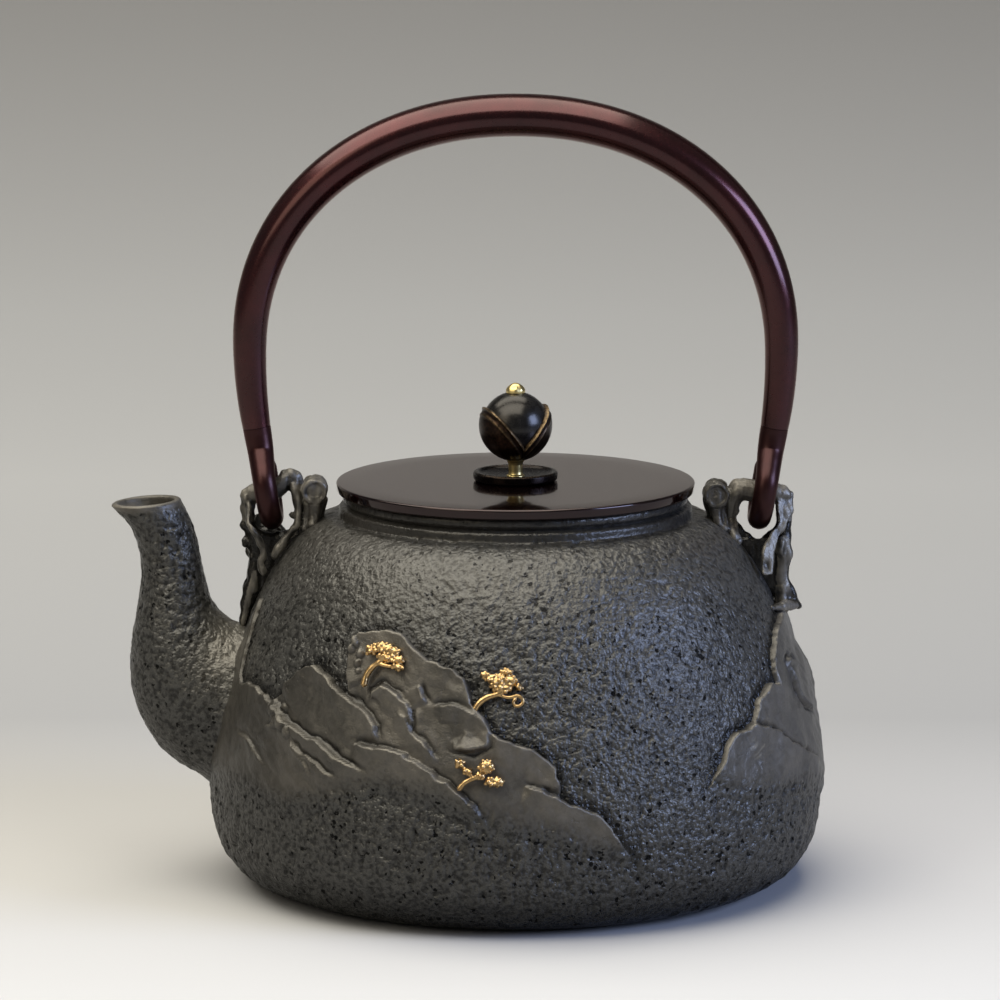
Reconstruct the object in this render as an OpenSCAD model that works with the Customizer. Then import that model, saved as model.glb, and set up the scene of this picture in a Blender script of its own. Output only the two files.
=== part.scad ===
// A cast-iron kettle with a swinging copper bail and a flat copper lid that lifts out.
// +Z is up, the origin is the centre of the foot, and the spout points along -X.

/* [Body] */
// Largest radius of the cast body
body_r = 75.3; // [73:0.1:78]
// Height of the largest radius above the table
belly_z = 26; // [24:0.5:28]
// Radius of the flat foot
foot_r = 53; // [50:0.5:56]
// Height where the shoulder meets the neck
shoulder_z = 90.3; // [89:0.1:92]
// Thickness of the cast wall
wall_t = 3.5; // [3:0.1:4.2]
// Thickness of the cast floor
floor_t = 4; // [3.5:0.1:5]
// Depth of the hollow under the foot
foot_hollow = 1.2; // [0.8:0.1:1.6]
// Width of the ring that the kettle stands on
foot_ring_w = 9; // [7:0.5:12]
// Radius of the round pad at the middle of the foot
navel_r = 9; // [7:0.5:12]

/* [Mouth] */
// Inner radius of the mouth
mouth_r = 37.5; // [36:0.1:38.5]
// Height of the neck above the shoulder
neck_h = 5.7; // [5:0.1:6.5]
// Thickness of the neck wall at its upper band
neck_t = 4.7; // [4:0.1:5.2]
// How far the lower band stands out past the upper band
neck_step = 1.0; // [0.6:0.1:1.3]
// Depth of the groove between the two bands
neck_groove = 0.8; // [0.4:0.1:1.2]

/* [Lid] */
// Thickness of the lid plate
lid_t = 2.6; // [2.2:0.1:3.2]
// How far the lid plate reaches past the neck
lid_overhang = 1.7; // [1:0.1:2]
// Depth of the flange under the lid
flange_h = 7.5; // [6.5:0.1:9]
// Thickness of the flange sheet
flange_t = 1.2; // [1:0.1:1.6]
// Gap between the flange and the mouth
flange_gap = 0.9; // [0.6:0.1:1.4]

/* [Knob] */
// Largest radius of the bud
bud_r = 9.0; // [8.5:0.1:9.5]
// Height of the bud
bud_h = 15.9; // [15:0.1:17]
// Length of the brass neck between the seat and the bud
stem_h = 4.4; // [4:0.1:5]
// Radius of the brass neck
stem_r = 1.9; // [1.7:0.1:2.2]
// Radius of the pin that runs through lid and bud
pin_r = 1.3; // [1.1:0.05:1.4]
// Radius of the dished seat
seat_r = 10.4; // [9.5:0.1:11]
// Height of the seat's rim
seat_h = 2.4; // [2:0.1:2.8]
// Thickness of the sepals over the bud
sepal_t = 0.7; // [0.5:0.05:0.9]
// Height of the notches between sepals, above the bud's foot
notch_z = 2.4; // [2:0.1:3.5]
// Angle of the front notch from the front, towards the right
notch_turn = 18; // [0:1:90]
// Radius of the gilt cap
cap_r = 2.4; // [2:0.1:2.8]
// Play of the pin in its bores
pin_gap = 0.08; // [0.05:0.01:0.1]
// End play of the knob on the lid
knob_play = 0.1; // [0.05:0.05:0.2]

/* [Spout] */
// How far the spout's belly stands out past the body
spout_out = 19.3; // [18:0.1:21]
// How far the beak's tip stands out past the body
beak_out = 23.6; // [22:0.1:25]
// Height of the beak's tip
beak_z = 92.3; // [90:0.1:94]
// Half width of the spout at its root
spout_root_w = 17; // [15:0.5:18]
// Half width of the spout at its mouth
spout_mouth_w = 8.4; // [7.5:0.1:9]
// Wall of the spout at its root
spout_t = 3; // [2.6:0.1:3.4]
// Wall of the spout at its lip
lip_t = 1.7; // [1.4:0.1:2]

/* [Ears] */
// Where the hooks hang, as a part of the way from the lid's edge to the body's largest radius
ear_place = 0.532; // [0.51:0.002:0.56]
// Height of the ear's bar above the shoulder
bar_h = 5.2; // [5:0.1:5.8]
// Radius of the ear's outer post
post_r = 1.75; // [1.5:0.05:1.9]
// Radius of the ear's lower limb
limb_r = 2.3; // [2:0.05:2.5]
// Radius of the sawn stump
stump_r = 3.4; // [3:0.1:3.6]
// Length of the sawn stump
stump_w = 9.4; // [8:0.1:10.5]
// Gap between the lid's edge and the stump
stump_gap = 1.6; // [1.2:0.1:2]
// Radius of the ear's bar
bar_r = 3.1; // [2.9:0.05:3.3]

/* [Bail] */
// Height of the arch's centre line above the bars
arch_h = 92.7; // [90:0.5:98]
// How far the arch bulges out past the hooks
arch_bulge = 4.2; // [3.5:0.1:5]
// Height of the arch's widest point above the bars
arch_wide_h = 35.5; // [33:0.5:38]
// Half thickness of the tube at the crest
crest_a = 5.2; // [4.8:0.1:5.6]
// Half depth of the tube at the crest
crest_b = 7; // [6:0.1:7.5]
// Half thickness of the tube at its ends
leg_r = 3.4; // [3.2:0.05:3.6]
// Wall of the copper tube
tube_t = 1; // [0.8:0.1:1.3]
// Radius of the hook's rod
hook_r = 2.8; // [2.5:0.05:3]
// Gap between the hook and the ear's bar
hook_gap = 0.3; // [0.2:0.05:0.4]
// Height of the hook's end above the bar's centre
hook_tip_h = 8; // [6:0.1:9]
// Height of the joint of hook and tube above the bar's centre
joint_h = 16.3; // [15:0.1:18]

/* [Relief] */
// Thickness of one layer of the cast mountains
relief_t = 1; // [0.7:0.05:1.2]
// Thickness of the gilt pines on their layer
pine_t = 1.1; // [0.8:0.05:1.4]

/* [Hidden] */
$fn = 64;

far = 200;                                  // longer than any cut needs
neck_top = shoulder_z + neck_h;
neck_r = mouth_r + neck_t;
lid_r = neck_r + lid_overhang;
lid_top = neck_top + lid_t;
bar_z = shoulder_z + bar_h;
hook_x = mix(lid_r, body_r, ear_place);

IRON = [0.17, 0.17, 0.17];
COPPER = [0.25, 0.08, 0.06];
BRONZE = [0.14, 0.11, 0.10];
BRASS = [0.80, 0.62, 0.30];
GILT = [0.72, 0.47, 0.20];

// ---- curves ---------------------------------------------------------------

function mix(a, b, t) = a + (b - a) * t;

// A point of the cubic curve with poles p, at t from 0 to 1
function cubic(p, t) = pow(1 - t, 3) * p[0] + 3 * pow(1 - t, 2) * t * p[1]
                     + 3 * (1 - t) * t * t * p[2] + t * t * t * p[3];

// A smooth curve through the stations s, at u from 0 to len(s) - 1
function through(s, u) =
    let (i = min(floor(u), len(s) - 2), f = u - i,
         a = s[max(i - 1, 0)], b = s[i], c = s[i + 1], d = s[min(i + 2, len(s) - 1)])
    0.5 * (2 * b + (c - a) * f + (2 * a - 5 * b + 4 * c - d) * f * f
           + (3 * b - a - 3 * c + d) * f * f * f);

// ---- cast body ------------------------------------------------------------

heel_steps = 12;
wall_steps = 14;
heel_power = 2.7;                           // 2 is an ellipse; more is squarer
neck_foot_r = neck_r + neck_step + 0.3;

// Poles of the upper wall, from the belly to the foot of the neck
wall_poles = [[body_r, belly_z], [body_r, mix(belly_z, shoulder_z, 0.2)],
              [mix(neck_foot_r, body_r, 0.57), shoulder_z - 0.2], [neck_foot_r, shoulder_z]];

// Outer line from the foot to the neck
outer = concat(
    [for (i = [0 : heel_steps]) let (a = 90 * i / heel_steps)
        [foot_r + (body_r - foot_r) * pow(sin(a), 2 / heel_power),
         belly_z * (1 - pow(cos(a), 2 / heel_power))]],
    [for (i = [1 : wall_steps]) cubic(wall_poles, i / wall_steps)]);

// Outward direction of a line of points at point i
function normal_at(p, i) =
    let (d = p[min(i + 1, len(p) - 1)] - p[max(i - 1, 0)]) [d[1], -d[0]] / norm(d);

// The outer line moved outwards by d, its ends kept at their heights
function grown(d) = [for (i = [0 : len(outer) - 1])
    let (q = outer[i] + d * normal_at(outer, i))
    i == 0 || i == len(outer) - 1 ? [q[0], outer[i][1]] : q];

// The inner line: the outer one a wall's thickness in, above the floor
inner = [for (p = grown(-wall_t)) if (p[1] > floor_t + foot_hollow + 0.3 && p[1] < shoulder_z - wall_t) p];

// Height on the upper wall where the body has radius r
function height_at(r) = lookup(r, [for (i = [len(outer) - 1 : -1 : heel_steps]) [outer[i][0], outer[i][1]]]);

module solid_body() {
    rotate_extrude() polygon(concat([[0, 0]], outer, [[0, shoulder_z]]));
}

// A skin over the body between two distances from its outer line
module skin(from, to) {
    last = len(outer) - 4;
    rotate_extrude() polygon(concat(
        [for (i = [3 : last]) grown(from)[i]],
        [for (i = [last : -1 : 3]) grown(to)[i]]));
}

module body_profile() {
    band = neck_h * 0.45;
    groove = neck_h * 0.1;
    polygon(concat(
        [[0, 0], [navel_r, 0], [navel_r + foot_hollow, foot_hollow],
         [foot_r - foot_ring_w, foot_hollow], [foot_r - foot_ring_w + foot_hollow, 0]],
        outer,
        [[neck_r + neck_step, shoulder_z + 0.4],
         [neck_r + neck_step, shoulder_z + band - 0.5],
         [neck_r + neck_step - 0.5, shoulder_z + band],
         [neck_r - neck_groove, shoulder_z + band + groove / 2],
         [neck_r - neck_groove, shoulder_z + band + groove],
         [neck_r, shoulder_z + band + 2 * groove],
         [neck_r, neck_top - 0.6],
         [neck_r - 0.6, neck_top],
         [mouth_r, neck_top],
         [mouth_r, shoulder_z - wall_t]],
        [for (i = [len(inner) - 1 : -1 : 0]) inner[i]],
        [[inner[0][0] - 3, floor_t + foot_hollow], [0, floor_t + foot_hollow]]));
}

// Way through the wall from the body into the spout
port_r = 10.5;
port_rise = 5;

module spout_port() {
    for (z = [root_z - port_rise, root_z + port_rise])
        translate([-body_r - 5, 0, z]) rotate([0, 90, 0]) cylinder(r = port_r, h = 30);
    translate([-body_r - 5, -port_r, root_z - port_rise]) cube([30, 2 * port_r, 2 * port_rise]);
}

module kettle_body() {
    color(IRON) difference() {
        rotate_extrude() body_profile();
        spout_port();
    }
}

// ---- spout ----------------------------------------------------------------

// Each station: outer x and z, inner x and z, half width, wall.
// x is measured from the axis towards the spout.
spout_stations = [
    [body_r - 13, 21, body_r - 13, 60, spout_root_w, spout_t],
    [body_r + 0.7, 24.8, body_r - 6.8, 63, spout_root_w, spout_t],
    [body_r + 10.7, 31, body_r - 4.1, 64.8, spout_root_w - 1, spout_t],
    [body_r + spout_out - 2.4, 40, body_r - 1.9, 67, spout_root_w - 2.5, spout_t],
    [body_r + spout_out, 50, body_r - 0.5, 69.5, mix(spout_root_w, spout_mouth_w, 0.49), spout_t],
    [body_r + spout_out - 0.4, 60, body_r + 0.4, 72.5, mix(spout_root_w, spout_mouth_w, 0.7), spout_t - 0.2],
    [body_r + spout_out - 2, 68.5, body_r + 1.1, 75.8, mix(spout_root_w, spout_mouth_w, 0.88), spout_t - 0.4],
    [body_r + spout_out - 2.7, 76, body_r + 1.9, 80, spout_mouth_w - 0.4, mix(lip_t, spout_t, 0.6)],
    [body_r + spout_out - 2, 82.5, body_r + 3, 85, spout_mouth_w - 0.9, mix(lip_t, spout_t, 0.4)],
    [body_r + beak_out - 4.3, beak_z - 4.7, body_r + 4.5, beak_z - 3.1, spout_mouth_w - 0.5,
     mix(lip_t, spout_t, 0.2)],
    [body_r + beak_out, beak_z, body_r + 6.6, beak_z + 1.3, spout_mouth_w, lip_t]];
spout_rings = 24;
spout_sides = 28;
root_z = (spout_stations[1][1] + spout_stations[1][3]) / 2;

// Ring of points at station s, its wall's thickness times in inside the outer skin
function spout_ring(s, in) =
    let (o = [s[0], s[1]], i = [s[2], s[3]], c = (o + i) / 2,
         a = norm(o - i) / 2 - s[5] * in, b = s[4] - s[5] * in, d = (o - i) / norm(o - i))
    [for (k = [0 : spout_sides - 1]) let (t = 360 * k / spout_sides)
        [-(c[0] + a * cos(t) * d[0]), -b * sin(t), c[1] + a * cos(t) * d[1]]];

// A pipe as one closed solid: rings out along the outer skin and back along the inner one
module pipe(rings, sides) {
    n = len(rings);
    polyhedron(
        points = [for (r = rings) for (p = r) p],
        faces = [for (i = [0 : n - 1]) for (k = [0 : sides - 1])
            let (a = i * sides, b = ((i + 1) % n) * sides, m = (k + 1) % sides)
            each [[a + k, b + k, b + m], [a + k, b + m, a + m]]],
        convexity = 8);
}

module spout() {
    last = len(spout_stations) - 1;
    s = [for (i = [0 : spout_rings]) through(spout_stations, last * i / spout_rings)];
    color(IRON) difference() {
        pipe(concat([for (i = [0 : spout_rings]) spout_ring(s[i], 0)],
                    [for (i = [spout_rings : -1 : 0]) spout_ring(s[i], 1)]), spout_sides);
        solid_body();
    }
}

// ---- ears -----------------------------------------------------------------

// A tapered limb with a knot at each end
module limb(p, pr, q, qr) {
    d = q - p;
    translate(p) rotate([0, acos(d[2] / norm(d)), atan2(d[1], d[0])])
        cylinder(r1 = pr, r2 = qr, h = norm(d));
    translate(p) sphere(r = pr * 1.04);
    translate(q) sphere(r = qr * 1.04);
}

post_gap = 0.6;
post_x = hook_x + hook_r + post_r + post_gap;
fork_x = hook_x - bar_r - hook_r - 2.1;
stump_x = lid_r + stump_gap + stump_r;
foot_x = post_x - 0.8 * post_r;             // the outer root's middle
foot_z = height_at(foot_x - 0.9 * limb_r);
knee_z = mix(bar_z, foot_z, 0.41);
limb_x = post_x - 0.6 * post_r;
limb_z = height_at(limb_x - 1.9 * limb_r);

// A ring of cast branch whose top bar carries the hook, with a sawn stump towards the lid
module ear() {
    fork_z = height_at(fork_x) - 0.35 * limb_r;
    stump_z = height_at(stump_x + 1) - 0.9 * stump_r;
    color(IRON) difference() {
        union() {
            translate([stump_x, 0, bar_z]) rotate([0, 90, 0]) cylinder(r = bar_r, h = post_x - stump_x);
            limb([post_x, 0, bar_z + post_r / 2], post_r, [post_x - 0.2, 0, knee_z], post_r);
            limb([post_x - 0.2, 0, knee_z], post_r * 1.06, [foot_x, 0, foot_z], limb_r * 1.13);
            limb([fork_x, 0, bar_z], bar_r, [fork_x - 0.6, 0, fork_z], limb_r * 1.04);
            limb([fork_x - 0.6, 0, fork_z], limb_r * 1.04, [limb_x, 0, limb_z], limb_r);
            limb([stump_x, 0, bar_z - 1], stump_r * 0.85, [stump_x + 1, 0, stump_z], stump_r);
            translate([stump_x, 0, bar_z]) rotate([90, 0, 0])
                cylinder(r = stump_r, h = stump_w, center = true);
        }
        solid_body();
    }
}

module left_ear() { mirror([1, 0, 0]) ear(); }

module right_ear() { ear(); }

// ---- mountains and pines cast on the body ----------------------------------

// An outline drawn on the nominal body, carried over to this one
fit_x = body_r / 75.3;
fit_z = shoulder_z / 90.3;
function fitted(outline) = [for (p = outline) [p[0] * fit_x, p[1] * fit_z]];

// Outlines of x and z, seen from the front
front_far = [[-64.5, 55.5], [-58.8, 51.8], [-55.3, 50.3], [-51.3, 55.8], [-46.2, 62.1], [-41.6, 66.3],
             [-37.5, 69], [-32, 71.2], [-26.8, 71], [-23.4, 67.8], [-19.4, 65.4], [-14.7, 64.3],
             [-11.4, 61.1], [-9.7, 56], [-6, 53], [0.4, 51.2], [6.9, 46.9], [9.3, 40.9], [10.2, 35.6],
             [18.2, 31.6], [22.7, 27.3], [28, 20.5], [11.6, 21.2], [-8.3, 26], [-20.1, 30],
             [-31.9, 32], [-48.3, 31.4], [-63.8, 28], [-70.5, 28.5], [-69.5, 42]];
front_mid = [[-46, 59], [-41.4, 63.5], [-37.5, 67.2], [-32.4, 70], [-25.8, 70], [-22.4, 66],
             [-20.6, 58], [-18.4, 52], [-16.6, 45], [-14, 38], [-8.5, 34], [-1, 29.5], [-8, 27.5],
             [-20, 31.5], [-32, 34], [-44, 33.5], [-56, 31.5], [-59, 41], [-54.6, 47.2]];
front_near = [[-50, 43.5], [-40, 46.3], [-31.9, 45.2], [-25.3, 43.4], [-19.8, 40.6], [-16.4, 36.6],
              [-12.4, 31.6], [-20, 32.5], [-32, 35.2], [-44, 34.8]];

// Outlines of y and z, seen from the right
side_far = [[12, 63], [2.2, 65.7], [-10, 64.5], [-18.3, 62.7], [-25.5, 57], [-30.9, 52.8], [-38.3, 51.9],
            [-44.4, 47], [-49.3, 45.6], [-53.2, 41.6], [-58, 34.2], [-52.6, 30.1], [-44, 28.6],
            [-30.6, 26.9], [0, 26.5], [26, 27.5], [45, 31], [52, 37], [44, 43], [36, 46], [28, 54],
            [20, 57]];
side_near = [[8, 60], [0, 62.5], [-12, 61], [-19.5, 57], [-25, 50.5], [-34, 47.5], [-42, 43], [-47, 37],
             [-42, 31.5], [-28, 28.4], [0, 28], [22, 29], [34, 33], [32, 42], [20, 50]];
side_top = [[6, 57], [-3, 59.5], [-12, 57], [-18, 50], [-22, 44], [-20, 40.5], [0, 39], [16, 40.5],
            [15, 48]];

// What of the skin lies inside an outline, seen from the front
module seen_from_front(outline, from, to) {
    intersection() {
        skin(from, to);
        rotate([90, 0, 0]) linear_extrude(height = far) polygon(fitted(outline));
    }
}

// What of the skin lies inside an outline, seen from the right
module seen_from_right(outline, from, to) {
    intersection() {
        skin(from, to);
        rotate([90, 0, 90]) linear_extrude(height = far) polygon(fitted(outline));
    }
}

module front_mountain() {
    color(IRON) {
        seen_from_front(front_far, 0, relief_t);
        seen_from_front(front_mid, 0, 2 * relief_t);
        seen_from_front(front_near, 0, 3 * relief_t);
    }
}

module side_mountain() {
    color(IRON) {
        seen_from_right(side_far, 0, 1.4 * relief_t);
        seen_from_right(side_near, 0, 2.4 * relief_t);
        seen_from_right(side_top, 0, 3.6 * relief_t);
    }
}

// A gilt pine: flat clouds of needles over a short trunk, on the layer that ends at from
module pine(clouds, trunk, from) {
    color(GILT) intersection() {
        skin(from, from + pine_t);
        rotate([90, 0, 0]) linear_extrude(height = far) union() {
            for (c = fitted(clouds)) translate(c) scale([1.35 * fit_x, 0.8 * fit_z]) circle(d = 4.2);
            polygon(fitted(trunk));
        }
    }
}

module upper_pine() {
    pine([[-30.8, 66.8], [-27.4, 65.4], [-32.4, 63.6], [-29, 62.6]],
         [[-33.4, 59], [-31.8, 59], [-29.4, 63], [-31, 64]], 2 * relief_t);
}

module ridge_pine() {
    difference() {
        pine([[-3.6, 62.6], [-7, 60.4], [-1.2, 59.6], [-4.2, 58.2]],
             [[-7.6, 51.5], [-5.6, 51.5], [-3.4, 58.6], [-5.2, 59.6]], 0);
        seen_from_front(front_far, -1, relief_t);
    }
}

module lower_pine() {
    pine([[-9.8, 41.4], [-6.4, 40.6], [-10.6, 39.2]],
         [[-10, 36.6], [-8.4, 36.6], [-7.2, 40], [-8.6, 41]], relief_t);
}

// ---- bail -----------------------------------------------------------------

arch_w = hook_x + arch_bulge;
arch_d = arch_wide_h - joint_h;
arch_k = arch_bulge / (arch_d * arch_d + 2 * joint_h * arch_d);
lean = atan(2 * arch_k * arch_d);
joint_len = joint_h / cos(lean);
arch_power = 2.12;
leg_rings = 8;
arch_rings = 15;
tube_sides = 20;

// Right half of the arch's centre line, from the joint to the crest, x and height above the bar
arch_half = concat(
    [for (i = [0 : leg_rings - 1]) let (d = arch_d * (1 - i / leg_rings))
        [arch_w - arch_k * d * d, arch_wide_h - d]],
    [for (i = [0 : arch_rings]) let (a = 90 * i / arch_rings)
        [arch_w * pow(cos(a), 2 / arch_power),
         arch_wide_h + (arch_h - arch_wide_h) * pow(sin(a), 2 / arch_power)]]);
arch_n = len(arch_half);
arch_line = concat(arch_half, [for (i = [arch_n - 2 : -1 : 0]) [-arch_half[i][0], arch_half[i][1]]]);

// Direction of the centre line at ring i
function arch_dir(i) =
    i == 0 ? [sin(lean), cos(lean)]
    : i == 2 * arch_n - 2 ? [sin(lean), -cos(lean)]
    : let (d = arch_line[i + 1] - arch_line[i - 1]) d / norm(d);

// Ring i of the tube, thinner by in
function tube_ring(i, in) =
    let (c = arch_line[i], d = arch_dir(i), s = max(0, (c[1] - joint_h) / (arch_h - joint_h)),
         a = mix(leg_r, crest_a, pow(s, 0.72)) - in, b = mix(leg_r, crest_b, pow(s, 1.3)) - in)
    [for (k = [0 : tube_sides - 1]) let (t = 360 * k / tube_sides)
        [c[0] + a * cos(t) * d[1], b * sin(t), bar_z + c[1] - a * cos(t) * d[0]]];

module bail_tube() {
    last = 2 * arch_n - 2;
    color(COPPER) pipe(concat([for (i = [0 : last]) tube_ring(i, 0)],
                              [for (i = [last : -1 : 0]) tube_ring(i, tube_t)]), tube_sides);
}

hook_c = bar_r + hook_gap + hook_r;         // radius of the hook's bend, to the rod's centre
hook_rise = joint_len - 2;
spigot_r = leg_r - tube_t - 0.2;
spigot_h = 6;

// Bends of the rod from the front of the bar up to the tube, in the hook's own plane
hook_bends = [[-hook_c, 0], [-0.9 * hook_c, 0.3 * hook_rise], [-0.14 * hook_c, 0.78 * hook_rise],
              [0, hook_rise]];

// A straight of rod from p to q, swollen a little at q where it was bent
module straight(p, q) {
    d = q - p;
    translate(p) rotate([-90, 0, -atan2(d[0], d[1])]) cylinder(r = hook_r, h = norm(d));
    translate(q) sphere(r = hook_r * 1.04);
}

// Under the bar, up behind it to the tip, and up in front of it to the tube
module hook() {
    color(COPPER) translate([hook_x, 0, bar_z]) rotate([0, lean, 0]) rotate([90, 0, 90]) {
        rotate_extrude(angle = 180, start = 180) translate([hook_c, 0]) circle(r = hook_r);
        translate([hook_c, 0, 0]) rotate([-90, 0, 0]) cylinder(r = hook_r, h = hook_tip_h - hook_r);
        translate([hook_c, hook_tip_h - hook_r, 0]) sphere(r = hook_r);
        translate(hook_bends[0]) sphere(r = hook_r * 1.04);
        for (i = [1 : len(hook_bends) - 1]) straight(hook_bends[i - 1], hook_bends[i]);
        translate([0, hook_rise, 0]) rotate([-90, 0, 0]) cylinder(r1 = hook_r, r2 = leg_r, h = 2);
        translate([0, joint_len - 0.1, 0]) rotate([-90, 0, 0])
            cylinder(r = spigot_r, h = spigot_h + 0.1);
    }
}

module left_hook() { mirror([1, 0, 0]) hook(); }

module right_hook() { hook(); }

// ---- lid ------------------------------------------------------------------

pin_bore_r = pin_r + pin_gap;

module lid_plate() {
    round_r = lid_t / 2 - 0.1;
    color(COPPER) rotate_extrude() polygon(concat(
        [[pin_bore_r, neck_top], [lid_r - round_r, neck_top]],
        [for (a = [-75 : 15 : 75])
            [lid_r - round_r + round_r * cos(a), neck_top + lid_t / 2 + lid_t / 2 * sin(a)]],
        [[lid_r - round_r, lid_top], [pin_bore_r, lid_top]]));
}

module lid_flange() {
    r = mouth_r - flange_gap;
    color(COPPER) translate([0, 0, neck_top - flange_h]) difference() {
        cylinder(r = r, h = flange_h);
        translate([0, 0, -1]) cylinder(r = r - flange_t, h = flange_h + 2);
    }
}

// ---- knob -----------------------------------------------------------------

seat_floor = 1;
stem_z = lid_top + seat_floor;              // where the brass neck stands
bud_z = lid_top + 1.4 + stem_h;
bud_top = bud_z + bud_h;
cap_h = 2.4;
washer_r = 6;
washer_h = 1;
washer_top = neck_top - knob_play;
rivet_h = 1.4;

// The bud is a slightly flattened ball, cut flat at its foot and its top
bud_cut = 76;
bud_steps = 12;
function bud(d) = [for (i = [0 : bud_steps]) let (a = mix(-bud_cut, bud_cut, i / bud_steps))
    [(bud_r - sepal_t + d) * cos(a), bud_z + bud_h / 2 + (bud_h / 2 / sin(bud_cut) + d) * sin(a)]];

module knob_seat() {
    color(BRONZE) rotate_extrude() polygon([
        [pin_r, lid_top], [seat_r - 1, lid_top], [seat_r - 0.2, lid_top + 0.5],
        [seat_r, lid_top + seat_h - 0.4], [seat_r - 0.4, lid_top + seat_h],
        [seat_r - 1.2, lid_top + seat_h], [seat_r - 1.8, lid_top + seat_h - 0.5],
        [seat_r * 0.55, lid_top + 1.3], [stem_r + 1, lid_top + seat_floor], [pin_r, lid_top + seat_floor]]);
}

module knob_stem() {
    color(BRASS) {
        translate([0, 0, stem_z]) cylinder(r = stem_r, h = bud_z - stem_z);
        translate([0, 0, stem_z]) cylinder(r1 = stem_r + 0.9, r2 = stem_r + 0.4, h = 0.9);
        translate([0, 0, washer_top - washer_h]) cylinder(r = pin_r, h = bud_top + 1 - washer_top + washer_h);
        translate([0, 0, washer_top - washer_h - rivet_h])
            cylinder(r1 = pin_r + 0.5, r2 = pin_r + 1.1, h = rivet_h);
    }
}

module knob_bud() {
    color(IRON) rotate_extrude() polygon(concat([[pin_r, bud_z]], bud(0), [[pin_r, bud_top]]));
}

// Two sepals, joined at the foot, with a notch on each side between their tips
module knob_sepals() {
    notch_w = bud_r * 0.87;
    tip_z = bud_z + bud_h * 0.82;
    last = bud_steps - 2;
    color(BRONZE) difference() {
        rotate_extrude() polygon(concat(
            [for (i = [0 : last]) bud(0)[i]],
            [for (i = [last : -1 : 0]) bud(sepal_t)[i]]));
        for (a = [notch_turn, notch_turn + 180]) rotate([90, 0, a]) linear_extrude(height = 3 * bud_r)
            polygon([[0, bud_z + notch_z], [notch_w, tip_z], [notch_w, tip_z + bud_h],
                     [-notch_w, tip_z + bud_h], [-notch_w, tip_z]]);
    }
}

module knob_cap() {
    color(BRASS) rotate_extrude() polygon([
        [pin_r, bud_top], [cap_r * 0.95, bud_top], [cap_r, bud_top + 0.4], [cap_r * 0.8, bud_top + 0.9],
        [cap_r * 0.72, bud_top + 1.2], [cap_r * 0.6, bud_top + cap_h * 0.8], [cap_r * 0.3, bud_top + cap_h],
        [0, bud_top + cap_h], [0, bud_top + 1], [pin_r, bud_top + 1]]);
}

module knob_washer() {
    color(BRASS) translate([0, 0, washer_top - washer_h]) difference() {
        cylinder(r = washer_r, h = washer_h);
        translate([0, 0, -1]) cylinder(r = pin_r, h = washer_h + 2);
    }
}

kettle_body();
spout();
left_ear();
right_ear();
front_mountain();
side_mountain();
upper_pine();
ridge_pine();
lower_pine();
bail_tube();
left_hook();
right_hook();
lid_plate();
lid_flange();
knob_seat();
knob_stem();
knob_bud();
knob_sepals();
knob_cap();
knob_washer();
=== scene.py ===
"""A cast-iron kettle with a lacquered copper bail and a flat copper lid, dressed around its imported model.

Sizes are in millimetres and angles in degrees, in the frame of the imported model: +Z is up, the
origin is the centre of the foot, and the spout points along -X. A place on the body is often given
as an azimuth, counted from the front (-Y) towards +X, and a height. Meshes go to Blender in metres.
"""

from __future__ import annotations

import itertools
import logging
import sys
from collections.abc import Sequence
from dataclasses import dataclass
from enum import Enum
from functools import cached_property
from math import atan, cos, pi, radians, sin

import bpy
import numpy as np
from bpy.types import ID, Material, Node, NodeSocket, NodeTree, Object
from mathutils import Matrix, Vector

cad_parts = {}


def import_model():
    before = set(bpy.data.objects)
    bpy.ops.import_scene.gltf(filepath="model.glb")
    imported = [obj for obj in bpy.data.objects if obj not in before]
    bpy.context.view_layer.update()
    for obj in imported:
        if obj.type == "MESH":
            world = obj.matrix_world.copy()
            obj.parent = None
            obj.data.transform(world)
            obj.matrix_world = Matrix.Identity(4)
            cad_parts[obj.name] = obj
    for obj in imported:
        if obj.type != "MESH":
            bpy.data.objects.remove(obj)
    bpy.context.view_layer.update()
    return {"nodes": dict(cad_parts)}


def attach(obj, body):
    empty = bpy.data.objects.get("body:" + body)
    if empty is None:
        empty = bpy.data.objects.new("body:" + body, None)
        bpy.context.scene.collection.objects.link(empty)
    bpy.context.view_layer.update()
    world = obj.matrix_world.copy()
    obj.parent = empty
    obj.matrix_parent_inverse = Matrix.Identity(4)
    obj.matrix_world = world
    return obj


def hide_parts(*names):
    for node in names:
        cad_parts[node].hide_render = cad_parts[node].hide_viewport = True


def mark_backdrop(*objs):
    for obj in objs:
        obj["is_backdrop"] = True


LOG = logging.getLogger("kettle")
MM = 0.001                      # metres in a millimetre
GRAIN = "grain"                 # attribute: 1 on sand-cast skin, 0 on tooled smooth iron
WEAR_HIGHLIGHT = "rim"                     # attribute: 1 on edges rubbed down to bare metal, and on crests and faces given a painted highlight
SHADE_GLOSS = "soot"                   # attribute: 1 where the iron is painted dark and glossy: painted shade at the foot of a drop, in low rock, in the ears' forks and at the body's foot; also the neck
Array = np.ndarray
Number = float | Array
Line = list[tuple[float, float]]
Skin = tuple[Array, list]       # corners, and the faces between them
Limbs = list[list[tuple[float, float, float, float]]]


# ---- numbers ----


def srgb(code: str) -> tuple[float, float, float, float]:
    """Turn an sRGB hex colour into Blender's linear colour.

    Args:
        code: six hex digits after a hash sign.

    Returns:
        Linear red, green, blue and an alpha of 1.
    """
    channels = [int(code[i:i + 2], 16) / 255 for i in (1, 3, 5)]
    linear = [c / 12.92 if c <= 0.04045 else ((c + 0.055) / 1.055) ** 2.4 for c in channels]
    return (*linear, 1.0)


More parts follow.
